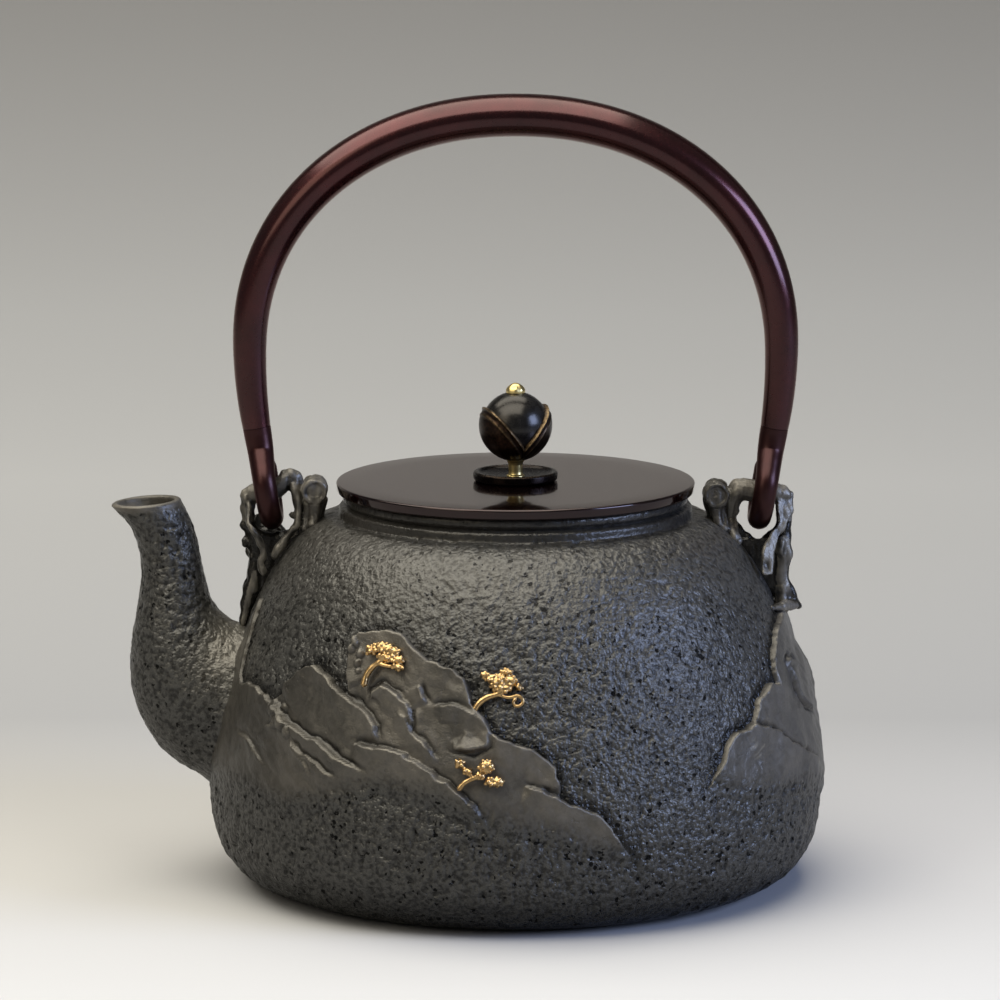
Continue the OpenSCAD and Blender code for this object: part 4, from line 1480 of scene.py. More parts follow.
@dataclass
class GiltPine:
    """A small gilt pine on the relief: trunks, and clouds studded with needle tufts."""

    name: str
    trunks: list[tuple[Line, float, float]]   # points, and radius at the foot and at the tip
    clouds: list[tuple[float, float, float, float]]   # azimuth, height, half width and half height
    off: float                  # how far its middle lies off the body's line
    seed: int
    depth: float = 0.95         # half thickness of a cloud
    voxel: float = 0.13

    def cloud(self, azimuth: float, height: float, wide: float, tall: float) -> Skin:
        """A flattened ball that lies on the skin.

        Args:
            azimuth: where its middle lies.
            height: the height of its middle.
            wide: half its width.
            tall: half its height.

        Returns:
            Its corners and faces.
        """
        middle = SHAPE.place(azimuth, height, self.off)
        out = SHAPE.place(azimuth, height, self.off + 1) - middle
        side = SHAPE.place(azimuth + 0.5, height, self.off) - SHAPE.place(azimuth - 0.5, height, self.off)
        side /= np.linalg.norm(side)
        up = np.cross(out, side)
        rings = []
        for a in np.linspace(-pi / 2, pi / 2, 11):
            flat = turned(cos(a), sin(a), 18)
            rings.append(middle + flat[:, :1] * wide * side + flat[:, 1:2] * tall * up
                         + flat[:, 2:] * self.depth * out)
        return rings_mesh(rings)

    def build(self) -> Object:
        """Make the pine.

        Returns:
            The pine.
        """
        clouds = mesh_object(self.name + "_clouds", *joined([self.cloud(*c) for c in self.clouds]))
        tree = bpy.data.node_groups.get("needle tufts") or needle_tree()
        grow(clouds, tree, {"Spacing": 0.8 * MM, "Smallest": 0.3 * MM, "Largest": 0.58 * MM,
                            "Seed": self.seed, "Material": GILT.material()})
        studded = (corners_of(clouds), [list(p.vertices) for p in clouds.data.polygons])
        bpy.data.objects.remove(clouds)
        parts = [studded]
        for line, foot, tip in self.trunks:
            u = np.linspace(0, len(line) - 1, 6 * len(line))
            path = through(np.array(line, float), u)
            place = SHAPE.place(path[:, 0], path[:, 1], self.off)
            girth = np.linspace(foot, tip, len(u)) * (1 + 0.12 * noise(place, 1.2, self.seed))
            parts.append(tube(place, girth))
        pine = fused(self.name, parts, self.voxel, 2)
        return GILT.put_on(pine)


def pines() -> dict[str, GiltPine]:
    """The three pines by the node that each stands for.

    Returns:
        Each pine by its node's name.
    """
    return {
        "upper_pine": GiltPine(
            "gilt_pine_upper",
            [([(-30.6, 58.8), (-30.4, 61), (-29.4, 62.9), (-27.9, 64.3), (-27, 65.6)], 0.85, 0.6),
             ([(-28.4, 63.9), (-26.2, 63.5), (-23.4, 63.5)], 0.55, 0.45)],
            [(-28.2, 67.3, 2.6, 1.3), (-30.4, 66.4, 1.5, 1), (-25.6, 66.6, 2, 1.3),
             (-26.6, 65.2, 2.4, 0.9), (-24, 65, 1.5, 0.9), (-23.9, 63.5, 1.7, 0.7)],
            off=2.6, seed=3),
        "ridge_pine": GiltPine(
            "gilt_pine_ridge",
            [([(-8.3, 54.2), (-7.2, 56.5), (-5.5, 58), (-3.4, 58.8), (-2.2, 59.6)], 0.75, 0.6),
             ([(-3.2, 58.6), (-1.6, 58.1), (-0.6, 58.2), (0.4, 58.5), (1.3, 57.8), (1.4, 56.9), (0.7, 56.2),
               (-0.1, 56.3), (-0.4, 57.1), (0.1, 57.8)], 0.45, 0.38)],
            [(-3.3, 61.3, 2.2, 2), (-1.2, 61.6, 1.7, 1.5), (-4.9, 62.3, 1.4, 1), (-1.8, 63.6, 1.5, 0.8),
             (-6.3, 62.9, 0.8, 0.6), (0.7, 60.3, 0.8, 0.8), (-2.4, 60, 2.2, 1)],
            off=1.1, seed=5),
        "lower_pine": GiltPine(
            "gilt_pine_lower",
            [([(-10, 37.3), (-9, 38.8), (-7.3, 39.9), (-5.6, 39.9)], 0.65, 0.5),
             ([(-7.6, 39.8), (-8.4, 41.2), (-9.7, 42.6)], 0.5, 0.4)],
            [(-5.2, 42.5, 1.9, 1.6), (-3.7, 39.1, 2.3, 1.1), (-10.1, 43.1, 1.1, 1), (-8.7, 41.5, 1.1, 0.7),
             (-6.3, 40.5, 1.2, 0.7)],
            off=2.4, seed=8)}


# ---- ears ----


class Hand(Enum):
    """The side that an ear or a hook is on, as the sign of its x."""

    LEFT = -1
    RIGHT = 1


# Each limb of an ear: x, y, height from the middle of the bar, and radius at each of its points
# the left ear, drawn for the right hand
LEFT_LIMBS: Limbs = [
    # the bar, up over its elbow and down beside the stump
    [(66.3, 0, -1, 1.8), (64.4, 0, -0.3, 2.4), (62, 0, 0.2, 2.8), (60, 0, 0.4, 2.8),
     (57.8, 0, 2.3, 2.9), (56, 0, 3.3, 2.6), (54.4, 0, 3.2, 2.4), (53.4, -0.3, 0.6, 1.9),
     (52.6, -0.2, -3.5, 1.8), (51.3, 0.5, -8, 2.5)],
    [(57.6, -0.4, 4.1, 1.4), (55.6, -0.5, 4.5, 1.3), (54.2, -0.5, 4, 1.4)],
    # the outer post and its root
    [(66, 0, -0.4, 1.7), (65.6, 0.2, -4, 1.7), (65.1, 0.4, -8, 1.6), (64.6, 0.5, -11.5, 1.7),
     (63.8, 0.4, -15.5, 1.8), (64, 0, -19.5, 2), (64.3, 0, -24.5, 2.2)],
    # the dead wood on the inside of the post
    [(65.2, 0.3, -1.5, 1.6), (65.15, 0.3, -5, 1.6), (65, 0.3, -9.5, 1.5)],
    # a thin branch before the post, with a curl at its foot
    [(65.9, -1.4, -0.8, 1.1), (65.3, -3.2, -3.6, 0.85), (65.1, -5.8, -6.2, 0.85), (63.9, -7.6, -8.2, 0.9),
     (62.6, -7.4, -10.2, 0.9), (61.8, -6.9, -12.4, 0.8), (61.5, -6.8, -14.2, 0.8),
     (62.3, -6.8, -15.8, 0.8), (61.9, -7, -17.8, 1), (61, -7.4, -19, 0.9)],
    # the roots behind the hook, painted dark as shade
    [(64.3, 2, -12.5, 2), (64.2, 6, -10, 1.9), (62.8, 8.6, -8.5, 1.9), (60.4, 8.8, -8.6, 1.8),
     (58.8, 8.4, -11, 2), (57.4, 7.4, -14, 2.2)],
    [(64, 3, -16, 2.4), (62.8, 6, -12.9, 2.7), (60.4, 7.6, -12.1, 2.7), (58.4, 7.4, -17, 2.4)],
    # a slender branch from the elbow that runs down onto the shoulder
    [(54.4, -1.6, 2.4, 1.2), (53.5, -2.6, -0.6, 0.95), (53.1, -3.4, -4, 0.85), (53.3, -4.2, -6.6, 0.85),
     (54.4, -4.6, -8.6, 0.9), (56, -4.9, -10.6, 0.95), (57.6, -5, -12.6, 1),
     (59, -5.2, -15, 1)],
    # a broken twig that points into the ring
    [(52.2, 0, -5, 1.4), (53.6, -0.4, -5.6, 1.1), (55, -0.6, -5.4, 0.7)],
    # the lower limb that closes the ring
    [(51.6, 0.5, -8, 2), (54.5, 0.6, -10.8, 1.8), (58.5, 0.4, -11.6, 1.9), (62, 0.2, -11.4, 1.9),
     (64.6, 0.2, -9.6, 1.7)],
    # knots on the outside of the post
    [(66.9, 0.1, -3, 0.9), (66.4, 0.1, -4.4, 1)],
    [(66.8, 0.2, -7.6, 1), (66, 0, -8.6, 1)],
    [(66.4, 0.2, -11.4, 1), (65.8, 0, -12.8, 1.2)],
    [(64.8, -0.4, -15, 0.9), (64.5, -1, -16.2, 0.9)],
    [(65, -0.4, -20.5, 1), (64.8, -0.8, -22, 1)],
    # the root that runs down towards the spout
    [(64.6, 0, -22, 2), (65.6, -0.4, -26.5, 1.7), (66.4, -0.8, -30, 1.3), (67, -1.2, -33, 0.8)],
]

# the right ear
RIGHT_LIMBS: Limbs = [
    # the bar, up over its elbow and down beside the stump
    [(67, 0, -0.9, 1.5), (65, 0, -0.4, 2.3), (62.4, 0, 0.1, 2.8), (60, 0, 0.1, 2.8),
     (57.2, 0, 0.7, 2.8), (54.8, 0, 0.8, 2.7), (53, 0, -1.2, 2.4), (52.4, 0, -5, 2),
     (52.3, 0.2, -8.5, 2), (52.2, 0.2, -11.5, 2.6)],
    # the flat blade that falls from the top of the post to the shoulder, given a painted highlight
    [(66.2, -0.3, -1, 1.2), (65.8, -0.4, -3.6, 1.3), (65, -1.2, -6.5, 1)],
    # the outer limb, its knot, its waist and its spur
    [(66.4, 0.7, -0.8, 1.1), (66.7, 1, -3, 1), (66.6, 0.9, -6.5, 1.1), (66, 0.2, -9.4, 1.5),
     (65.6, -0.8, -12.6, 2), (66, -1, -15.2, 1.9), (65.4, -0.8, -18.4, 1.7),
     (65.2, -0.6, -21.4, 1.9), (66.4, -0.4, -24.4, 2.1), (68, -0.4, -26.6, 1.7),
     (69.9, -0.4, -28.2, 0.8)],
    # the knot before the outer limb
    [(64.9, -2.4, -11.4, 1.1), (64.8, -2.8, -13.2, 1.3), (65.2, -2.6, -15, 1)],
    # the ledge of root below
    [(68.6, -1.2, -27.4, 1.3), (66.4, -4.6, -27, 1.2), (64.4, -8.2, -26.8, 1.1),
     (62.2, -11.6, -26.6, 0.8)],
    [(65.4, -0.6, -23, 2.2), (65.6, -1, -26, 2.2), (66, -1.4, -28.6, 1.6)],
    # the thin inner limb of the ring
    [(65.3, 0.6, -1, 1.6), (65.15, 0.6, -5, 1.6), (64.5, 0.6, -8.3, 1.2), (62.2, 0.5, -10.9, 1.1),
     (59.8, 0.2, -12.2, 1.2), (57.4, 0.2, -11.6, 1.2), (54.6, 0.2, -9.4, 1.3), (52.6, 0, -7, 1.5)],
    # the foot of the inner limb, spread on the shoulder
    [(52.6, -1.2, -7.4, 1.8), (53.4, -3.2, -9.6, 1.5), (54.4, -4.6, -11.6, 1.1)],
    [(51.6, -2.4, -7.4, 1.5), (50.6, -4.4, -8.2, 1)],
    [(53.2, 0, -3.6, 1.2), (54.3, -0.4, -5, 0.9)],
]

# the gnarled roots that carry either stump
STOCK: Limbs = [
    [(48.9, -2.4, -0.6, 2.2), (49, -2.8, -4.2, 1.7), (49.6, -4.2, -7.6, 1.3)],
    [(48.4, 0.4, -1, 2.7), (49.2, 0.4, -5, 2.6), (50.2, 0.4, -8, 3.2), (50.8, 0, -12, 3.2)],
    [(50.4, -1.6, -2, 1.6), (50.8, -2.6, -5.4, 1.2), (51.6, -3.6, -8.6, 1.1)],
    [(48.6, 3, -1, 2.2), (49, 3.6, -4.4, 1.8), (49.8, 4.8, -7.6, 1.6)],
]


@dataclass
class Ear:
    """An ear cast as a gnarled branch: a bar for the hook, a forked root and a sawn stump."""

    hand: Hand
    bar_z: float = 95.5
    hook_x: float = 60.605
    voxel: float = 0.28
    bark: float = 0.22          # height of the ripples in the bark
    air: float = 0.15           # between the hook and the iron that it swings past

    @staticmethod
    def plate(outline: Line, front: Number, thick: float) -> Skin:
        """A flat plate.

        Args:
            outline: x and z round it.
            front: y of its front, for each corner or for all.
            thick: how far its back lies behind that.

        Returns:
            Its corners and faces.
        """
        x, z = np.array(outline, float).T
        sides = [np.stack([x, np.zeros(len(x)) + front + deep, z], 1) for deep in (0.0, thick)]
        n = len(outline)
        faces = [list(range(n)), list(range(2 * n - 1, n - 1, -1))]
        faces += [[k, n + k, n + (k + 1) % n, (k + 1) % n] for k in range(n)]
        return np.concatenate(sides), [face[::-1] for face in faces]

    def web(self) -> Skin:
        """The iron that fills the fork below the ring, as a thin plate, painted near black as shade.

        Returns:
            Its corners and faces.
        """
        z = self.bar_z
        outline = [(50.5, z - 13), (52.8, z - 9.5), (56, z - 11.4), (60.4, z - 11.2), (64.8, z - 10.2),
                   (64.4, z - 17), (64.8, z - 24), (63.4, z - 26), (60, z - 20), (56, z - 15.5)]
        return self.plate(outline, -1.5, 3.0)

    def blade(self) -> Skin:
        """The flat blade that falls from the top of the right post to the shoulder.

        Returns:
            Its corners and faces.
        """
        z = self.bar_z
        outline = [(64.0, z - 0.8), (65.0, z + 0.8), (68.0, z + 0.2), (67.9, z - 4.2), (66.9, z - 6.0),
                   (65.8, z - 7.8), (64.2, z - 10.4), (63.0, z - 13.4), (62.6, z - 18.8), (60.2, z - 18.4),
                   (60.0, z - 13.6), (61.2, z - 10.8), (63.9, z - 6.6), (64.0, z - 3.4)]
        front = np.array([-2.4 - 0.33 * (z - h) + 0.5 * (x - 64) for x, h in outline])
        return self.plate(outline, front, 1.9)

    def stump(self) -> Skin:
        """The sawn log, along Y, with a raised rim of bark round each sawn face.

        Returns:
            Its corners and faces.
        """
        x, z, r = (49.1, self.bar_z + 0.9 * (self.hand is Hand.LEFT), 3.0)
        long = 4.6
        line = [(0, long - 0.35), (0.72 * r, long - 0.45), (0.8 * r, long), (r, long - 0.1),
                (1.05 * r, long - 1.1), (0.98 * r, 1.0), (1.06 * r, -1.2), (1.03 * r, -long + 1),
                (r, -long + 0.1), (0.8 * r, -long), (0.72 * r, -long + 0.45), (0, -long + 0.35)]
        rings = []
        for radius, y in line:
            ring = turned(radius, y, 28)
            rings.append(np.stack([x + ring[:, 0], -ring[:, 2], z + ring[:, 1]], 1))
        return rings_mesh(rings)

    def cleared(self, points: Array) -> Array:
        """Push corners out of the hook's way, however the bail swings.

        Args:
            points: the ear's corners.

        Returns:
            Where they are moved to.
        """
        path, girth = Bail().hook_line()
        path, girth = path[::2] - [0, 0, self.bar_z], girth[::2] + self.air
        own = points * [self.hand.value, 1, 1] - [0, 0, self.bar_z]
        near = np.linalg.norm(own - [self.hook_x, 0, 0], axis=1) < 14
        for turn in np.radians(np.linspace(-107, 107, 29)):
            c, s = cos(turn), sin(turn)
            spin = np.array([(1, 0, 0), (0, c, s), (0, -s, c)])
            gap = (own[near] @ spin.T)[:, None] - path
            distance = np.linalg.norm(gap, axis=2)
            worst = (girth - distance).argmax(1)[:, None]
            distance = np.take_along_axis(distance, worst, 1)
            push = np.maximum(girth[worst] - distance, 0) / np.maximum(distance, 1e-6)
            away = np.take_along_axis(gap, worst[:, :, None], 1)[:, 0] * push
            own[near] += away @ spin
        return (own + [0, 0, self.bar_z]) * [self.hand.value, 1, 1]

    def build(self) -> Object:
        """Make the ear with its bark.

        Returns:
            The ear.
        """
        parts = [self.stump(), self.web(), *([self.blade()] if self.hand is Hand.RIGHT else [])]
        for limb in (LEFT_LIMBS if self.hand is Hand.LEFT else RIGHT_LIMBS) + STOCK:
            stations = np.array(limb) + [0, 0, self.bar_z, 0]
            u = np.linspace(0, len(stations) - 1, 8 * len(stations))
            path = through(stations, u)
            parts.append(tube(path[:, :3], path[:, 3]))
        side = self.hand.value
        parts = [(points * [side, 1, 1], [face[::side] for face in faces]) for points, faces in parts]
        ear = fused(f"{self.hand.name.lower()}_ear_branch", parts, self.voxel, 3)
        points = corners_of(ear)
        stretched = points * [1, 1, 0.45] + 17 * side
        ripple = noise(stretched, 1.3, 21) * self.bark + noise(points, 3.4, 22) * self.bark * 1.8
        from_bar = np.hypot(points[:, 1], points[:, 2] - self.bar_z)
        bearing = (np.abs(np.abs(points[:, 0]) - self.hook_x) < 4.5) & (from_bar < 4)
        ripple = np.where(bearing, np.minimum(ripple, 0) * 0.4, ripple)
        move_corners(ear, self.cleared(points + normals_of(ear) * ripple[:, None]))
        set_attribute(ear, GRAIN, np.full(len(points), 0.16))
        across, drop = np.abs(points[:, 0]), self.bar_z - points[:, 2]
        # painted shade in the fork below the ring and under the stump's elbow
        fork = (across > 51) & (drop > 7) & (np.abs(points[:, 1]) < 1.9)
        under = (across < 52.5) & (drop > 2.5) & (drop < 12) & (points[:, 1] > -4.5)
        # a painted highlight where the right ear's faces turn halfway between the window and the camera
        facing = normals_of(ear) @ np.array([0.45, -0.84, 0.30])
        bright = step(0.9, 0.97, facing) * ((across > 60) & (drop < 19)) * (0.5 if side > 0 else 0)
        # raised bark rubbed lighter, and the painted highlight
        set_attribute(ear, WEAR_HIGHLIGHT, np.maximum(step(0.02, 0.3, ripple) * 0.6, bright) * ~fork)
        # painted shade behind the hook, in the bark's dips, the fork and under the elbow; the right stump
        # painted darker
        behind = (across > 56) & (drop > 6) & (points[:, 1] > 2.5)
        set_attribute(ear, SHADE_GLOSS, np.maximum.reduce([
            step(0.0, -0.3, ripple) * 0.8, fork * 0.95, under * 0.6, behind * 0.95,
            0.5 * ((across < 52.2) & (drop < 5) & (side > 0))]))
        return IRON.put_on(ear)


# ---- bail ----


@dataclass
class Bail:
    """The swinging handle: a copper tube drawn thick at its crest, and a forged hook at each end."""

    bar_z: float = 95.5
    hook_x: float = 60.605
    arch_h: float = 92.7
    arch_bulge: float = 4.2
    arch_wide_h: float = 35.5
    arch_power: float = 2.12
    joint_h: float = 16.3
    leg_r: float = 3.4
    crest_a: float = 5.2
    crest_b: float = 7.0
    hook_r: float = 2.8
    hook_c: float = 6.2         # radius of the bend under the bar
    tip_h: float = 8.0

    @property
    def arch_w(self) -> float:
        """Half the arch's greatest width."""
        return self.hook_x + self.arch_bulge

    @property
    def leg_curve(self) -> float:
        """How fast the legs draw in below their widest point."""
        drop = self.arch_wide_h - self.joint_h
        return self.arch_bulge / (drop * drop + 2 * self.joint_h * drop)

    @property
    def lean(self) -> float:
        """The angle in radians at which the hooks stand."""
        return atan(2 * self.leg_curve * (self.arch_wide_h - self.joint_h))

    def arch(self) -> Array:
        """Draw the arch's middle line.

        Returns:
            Its x and height above the bars, from the right joint to the left.
        """
        drop = np.linspace(self.arch_wide_h - self.joint_h, 0, 40, endpoint=False)
        leg = np.stack([self.arch_w - self.leg_curve * drop ** 2, self.arch_wide_h - drop], 1)
        a = np.linspace(0, pi / 2, 180)
        top = np.stack([
            self.arch_w * np.clip(np.cos(a), 0, 1) ** (2 / self.arch_power),
            self.arch_wide_h + (self.arch_h - self.arch_wide_h) * np.sin(a) ** (2 / self.arch_power)], 1)
        half = np.concatenate([leg, top])
        return np.concatenate([half, half[-2::-1] * [-1, 1]])

    def tube(self) -> Object:
        """Sweep the tube, its section growing from the legs to the crest.

        Returns:
            The tube.
        """
        line = resampled(self.arch(), 0.9)
        s = np.clip((line[:, 1] - self.joint_h) / (self.arch_h - self.joint_h), 0, 1)
        thick = mix(self.leg_r, self.crest_a, s ** 0.72)
        deep = mix(self.leg_r, self.crest_b, s ** 1.3)
        path = np.stack([line[:, 0], np.zeros(len(line)), self.bar_z + line[:, 1]], 1)
        return swept("bail_arch", path, thick, deep / thick, 72, BAIL_COPPER)

    def hook_line(self) -> tuple[Array, Array]:
        """Draw the right hook.

        Returns:
            Its path, from its tip behind the bar to the tube, and the radius along it.
        """
        rise = self.joint_h / cos(self.lean)
        back = [(self.hook_c, h) for h in np.linspace(self.tip_h - self.hook_r, 0.4, 8)]
        under = [(self.hook_c * cos(a), -self.hook_c * sin(a))
                 for a in np.linspace(0, pi, 40)]
        bends = np.array([(-self.hook_c, 0), (-5.9, 3.6), (-3.3, 7.2), (-0.7, 10.4), (0, 14), (0, rise)])
        front = through(bends, np.linspace(0, len(bends) - 1, 48)[1:])
        line = resampled(np.concatenate([back, under, front]), 0.45)
        girth = mix(self.hook_r, self.leg_r, step(1.5, rise - 0.2, line[:, 1]) * (line[:, 0] < 3))
        end = np.linspace(0, pi / 2, 7, endpoint=False)
        dome = np.stack([np.full(7, self.hook_c), line[0, 1] + self.hook_r * np.cos(end)], 1)
        line = np.concatenate([dome, line])
        girth = np.concatenate([np.maximum(self.hook_r * np.sin(end), 0.02), girth])
        x = self.hook_x + line[:, 1] * sin(self.lean)
        return np.stack([x, line[:, 0], self.bar_z + line[:, 1] * cos(self.lean)], 1), girth

    def hook(self, hand: Hand) -> Object:
        """Sweep a hook: its tip behind the bar, the bend under it, and the rise to the tube.

        Args:
            hand: the side that it is on.

        Returns:
            The hook.
        """
        path, girth = self.hook_line()
        path = path * [hand.value, 1, 1]
        return swept(f"{hand.name.lower()}_hook_rod", path, girth, np.ones(len(path)), 64, HOOK_COPPER)


# ---- lid and knob ----


@dataclass
class Lid:
    """The flat copper lid with its rolled edge."""

    radius: float = 43.9
    low: float = 96.0
    top: float = 98.6
    bore: float = 1.38

    def build(self) -> Object:
        """Turn the plate.

        Returns:
            The plate.
        """
        roll, r = 0.55, self.radius - 0.55
        a = np.radians(np.linspace(0, 90, 9))
        upper = [(r + roll * cos(t), self.top - roll + roll * sin(t)) for t in a]
        lower = [(r - 0.25 + roll * cos(t), self.low + roll - roll * sin(t)) for t in a[::-1]]
        flats = (2, 12, 25, 36)
        line = [(self.bore, self.low), *[(x, self.low) for x in flats], *lower, *upper,
                *[(x, self.top) for x in flats[::-1]], (self.bore, self.top)]
        plate = lathed("lid_disc", line, 256, closed=True, sharp=40)
        return LID_COPPER.put_on(plate)


@dataclass
class Knob:
    """The turning knob: a bud between two sepals on a brass neck, in a dished seat."""

    lid_top: float = 98.6
    seat_r: float = 10.4
    seat_h: float = 2.4
    seat_floor: float = 1.0
    stem_r: float = 1.9
    pin_r: float = 1.3
    bud_z: float = 104.4
    bud_h: float = 15.9
    bud_r: float = 9.0
    sepal_t: float = 0.7
    notch_z: float = 3.1
    notch_turn: float = 18.0
    cap_r: float = 2.4
    cap_h: float = 2.4
    cut: float = 76.0
    rivet_low: float = 93.5
    rivet_h: float = 1.4

    def bud_line(self, out: float, angles: Array) -> Array:
        """Radius and height of points on the bud, or off it.

        Args:
            out: distance off the bud.
            angles: angles from its waist, in radians.

        Returns:
            One row for each angle.
        """
        tall = self.bud_h / 2 / sin(radians(self.cut))
        return np.stack([(self.bud_r - self.sepal_t + out) * np.cos(angles),
                         self.bud_z + self.bud_h / 2 + (tall + out) * np.sin(angles)], -1)

    def seat(self) -> Object:
        """Turn the dished seat, its raised rim rubbed bright.

        Returns:
            The seat.
        """
        z, r = self.lid_top, self.seat_r
        rim, floor = z + self.seat_h, z + self.seat_floor
        line = rounded([
            (self.pin_r, z), (r - 1, z), (r - 0.15, z + 0.45), (r, rim - 0.4), (r - 0.4, rim), (r - 1.2, rim),
            (r - 1.9, rim - 0.6), (r * 0.55, z + 1.3), (self.stem_r + 1, floor), (self.pin_r, floor)], 0.3)
        seat = lathed("knob_dish", line, 160, closed=True)
        points = corners_of(seat)
        radius = np.hypot(points[:, 0], points[:, 1])
        high = step(rim - 0.5, rim, points[:, 2])
        set_attribute(seat, WEAR_HIGHLIGHT, high * step(r - 1.6, r - 0.8, radius) * 0.12)
        return SMOKED_BRONZE.put_on(seat)

    def stem(self) -> Object:
        """Turn the brass neck with its pin and rivet head.

        Returns:
            The neck.
        """
        z, top = self.lid_top + self.seat_floor, self.bud_z
        r, pin, low = self.stem_r, self.pin_r, self.rivet_low
        line = rounded([
            (0, low), (pin + 0.5, low), (pin + 1.1, low + 1.0), (pin + 1.1, low + self.rivet_h),
            (pin, low + self.rivet_h), (pin, z), (r + 0.35, z), (r + 0.35, z + 0.3), (r - 0.1, z + 0.6),
            (r - 0.2, z + 1.2), (r - 0.15, z + 3.0), (r + 0.05, z + 3.6), (r + 0.35, z + 4.1),
            (r + 0.3, top), (pin, top), (pin, top + self.bud_h + 1), (0, top + self.bud_h + 1)], 0.2)
        stem = lathed("brass_neck", line, 96)
        return BRASS.put_on(stem)

    def bud(self) -> Object:
        """Turn the blackened bud.

        Returns:
            The bud.
        """
        a = np.radians(np.linspace(-self.cut, self.cut, 61))
        ball = [tuple(p) for p in self.bud_line(-0.02, a)]
        line = [(self.pin_r, self.bud_z), *ball, (self.pin_r, self.bud_z + self.bud_h)]
        bud = lathed("bud_ball", line, 144, closed=True)
        set_attribute(bud, WEAR_HIGHLIGHT, np.zeros(1))
        return BLACK_BRONZE.put_on(bud)

    def sepals(self) -> Object:
        """Wrap two sepals round the bud, with a doubled rim along each V between them.

        Returns:
            Both sepals in one piece.
        """
        columns, rows = 288, 56
        azimuth = np.radians(np.arange(columns) * 360 / columns + self.notch_turn)
        turn = np.abs(np.sin(azimuth - radians(self.notch_turn)))
        angles = np.radians(np.linspace(-self.cut, self.cut, 400))
        ball = self.bud_line(self.sepal_t, angles)
        notch_w, tip_z = self.bud_r * 0.87, self.bud_h * 0.82
        opening = np.maximum(ball[:, 1] - self.bud_z - self.notch_z, 0) * notch_w / (tip_z - self.notch_z)
        covered = ball[:, 0, None] * turn > opening[:, None]
        top = np.array([angles[np.argmin(covered[:, k])] for k in range(columns)])
        tops = np.minimum(top, radians(52))
        share = np.linspace(0, 1, rows)[:, None] ** 0.85
        low = radians(-self.cut)
        a = low + (tops - low) * share
        edge = (tops - a) * self.bud_r
        vee = edge * np.clip(0.45 + 0.55 * turn, 0, 1)
        rim = np.exp(-((vee - 0.36) / 0.26) ** 2)
        second = np.exp(-((vee - 2.1) / 0.30) ** 2)
        groove = np.exp(-((vee - 1.15) / 0.55) ** 2)
        out = self.sepal_t * step(-0.05, 0.3, vee) + 0.28 * rim + 0.16 * second - 0.10 * groove
        folds = 0.04 * np.sin(turn * 26) * step(2.6, 5, vee)
        line = self.bud_line(0, a) + np.stack([np.cos(a), np.sin(a)], -1) * (out + folds)[..., None]
        skins = [np.stack([skin[..., 0] * np.sin(azimuth), -skin[..., 0] * np.cos(azimuth), skin[..., 1]], -1)
                 for skin in (line, self.bud_line(-0.25, a)[::-1])]
        sepals = mesh_object("bud_sepals", *rings_mesh([*skins[0], *skins[1]], True), 60)
        set_attribute(sepals, WEAR_HIGHLIGHT, (np.clip(rim, 0, 1) + 0.35 * second) * step(0.1, 0.45, share))
        return BROWN_BRONZE.put_on(sepals)

    def cap(self) -> Object:
        """Turn the brass cap and press eight lobes into it.

        Returns:
            The cap.
        """
        z, r = self.bud_z + self.bud_h, self.cap_r
        line = [(self.pin_r, z - 0.3), (r * 0.88, z - 0.3), (r * 0.96, z), (r * 0.97, z + 0.5),
                (r * 0.92, z + 0.95), (r * 0.80, z + 1.4), (r * 0.62, z + 1.8), (r * 0.40, z + 2.15),
                (r * 0.20, z + 2.34)]
        count = 96
        rings = [turned(a, b, count) for a, b in line] + [np.array([[0, 0, z + self.cap_h]])]
        points, faces = rings_mesh(rings)
        faces.append(list(range(count))[::-1])
        angle = np.arctan2(points[:, 0], -points[:, 1])
        lobes = 1 + 0.025 * np.cos(8 * angle) * step(z + 0.1, z + 0.6, points[:, 2])
        points[:, :2] *= lobes[:, None]
        cap = mesh_object("brass_button", points, faces, 50)
        return BRASS.put_on(cap)


# ---- studio ----


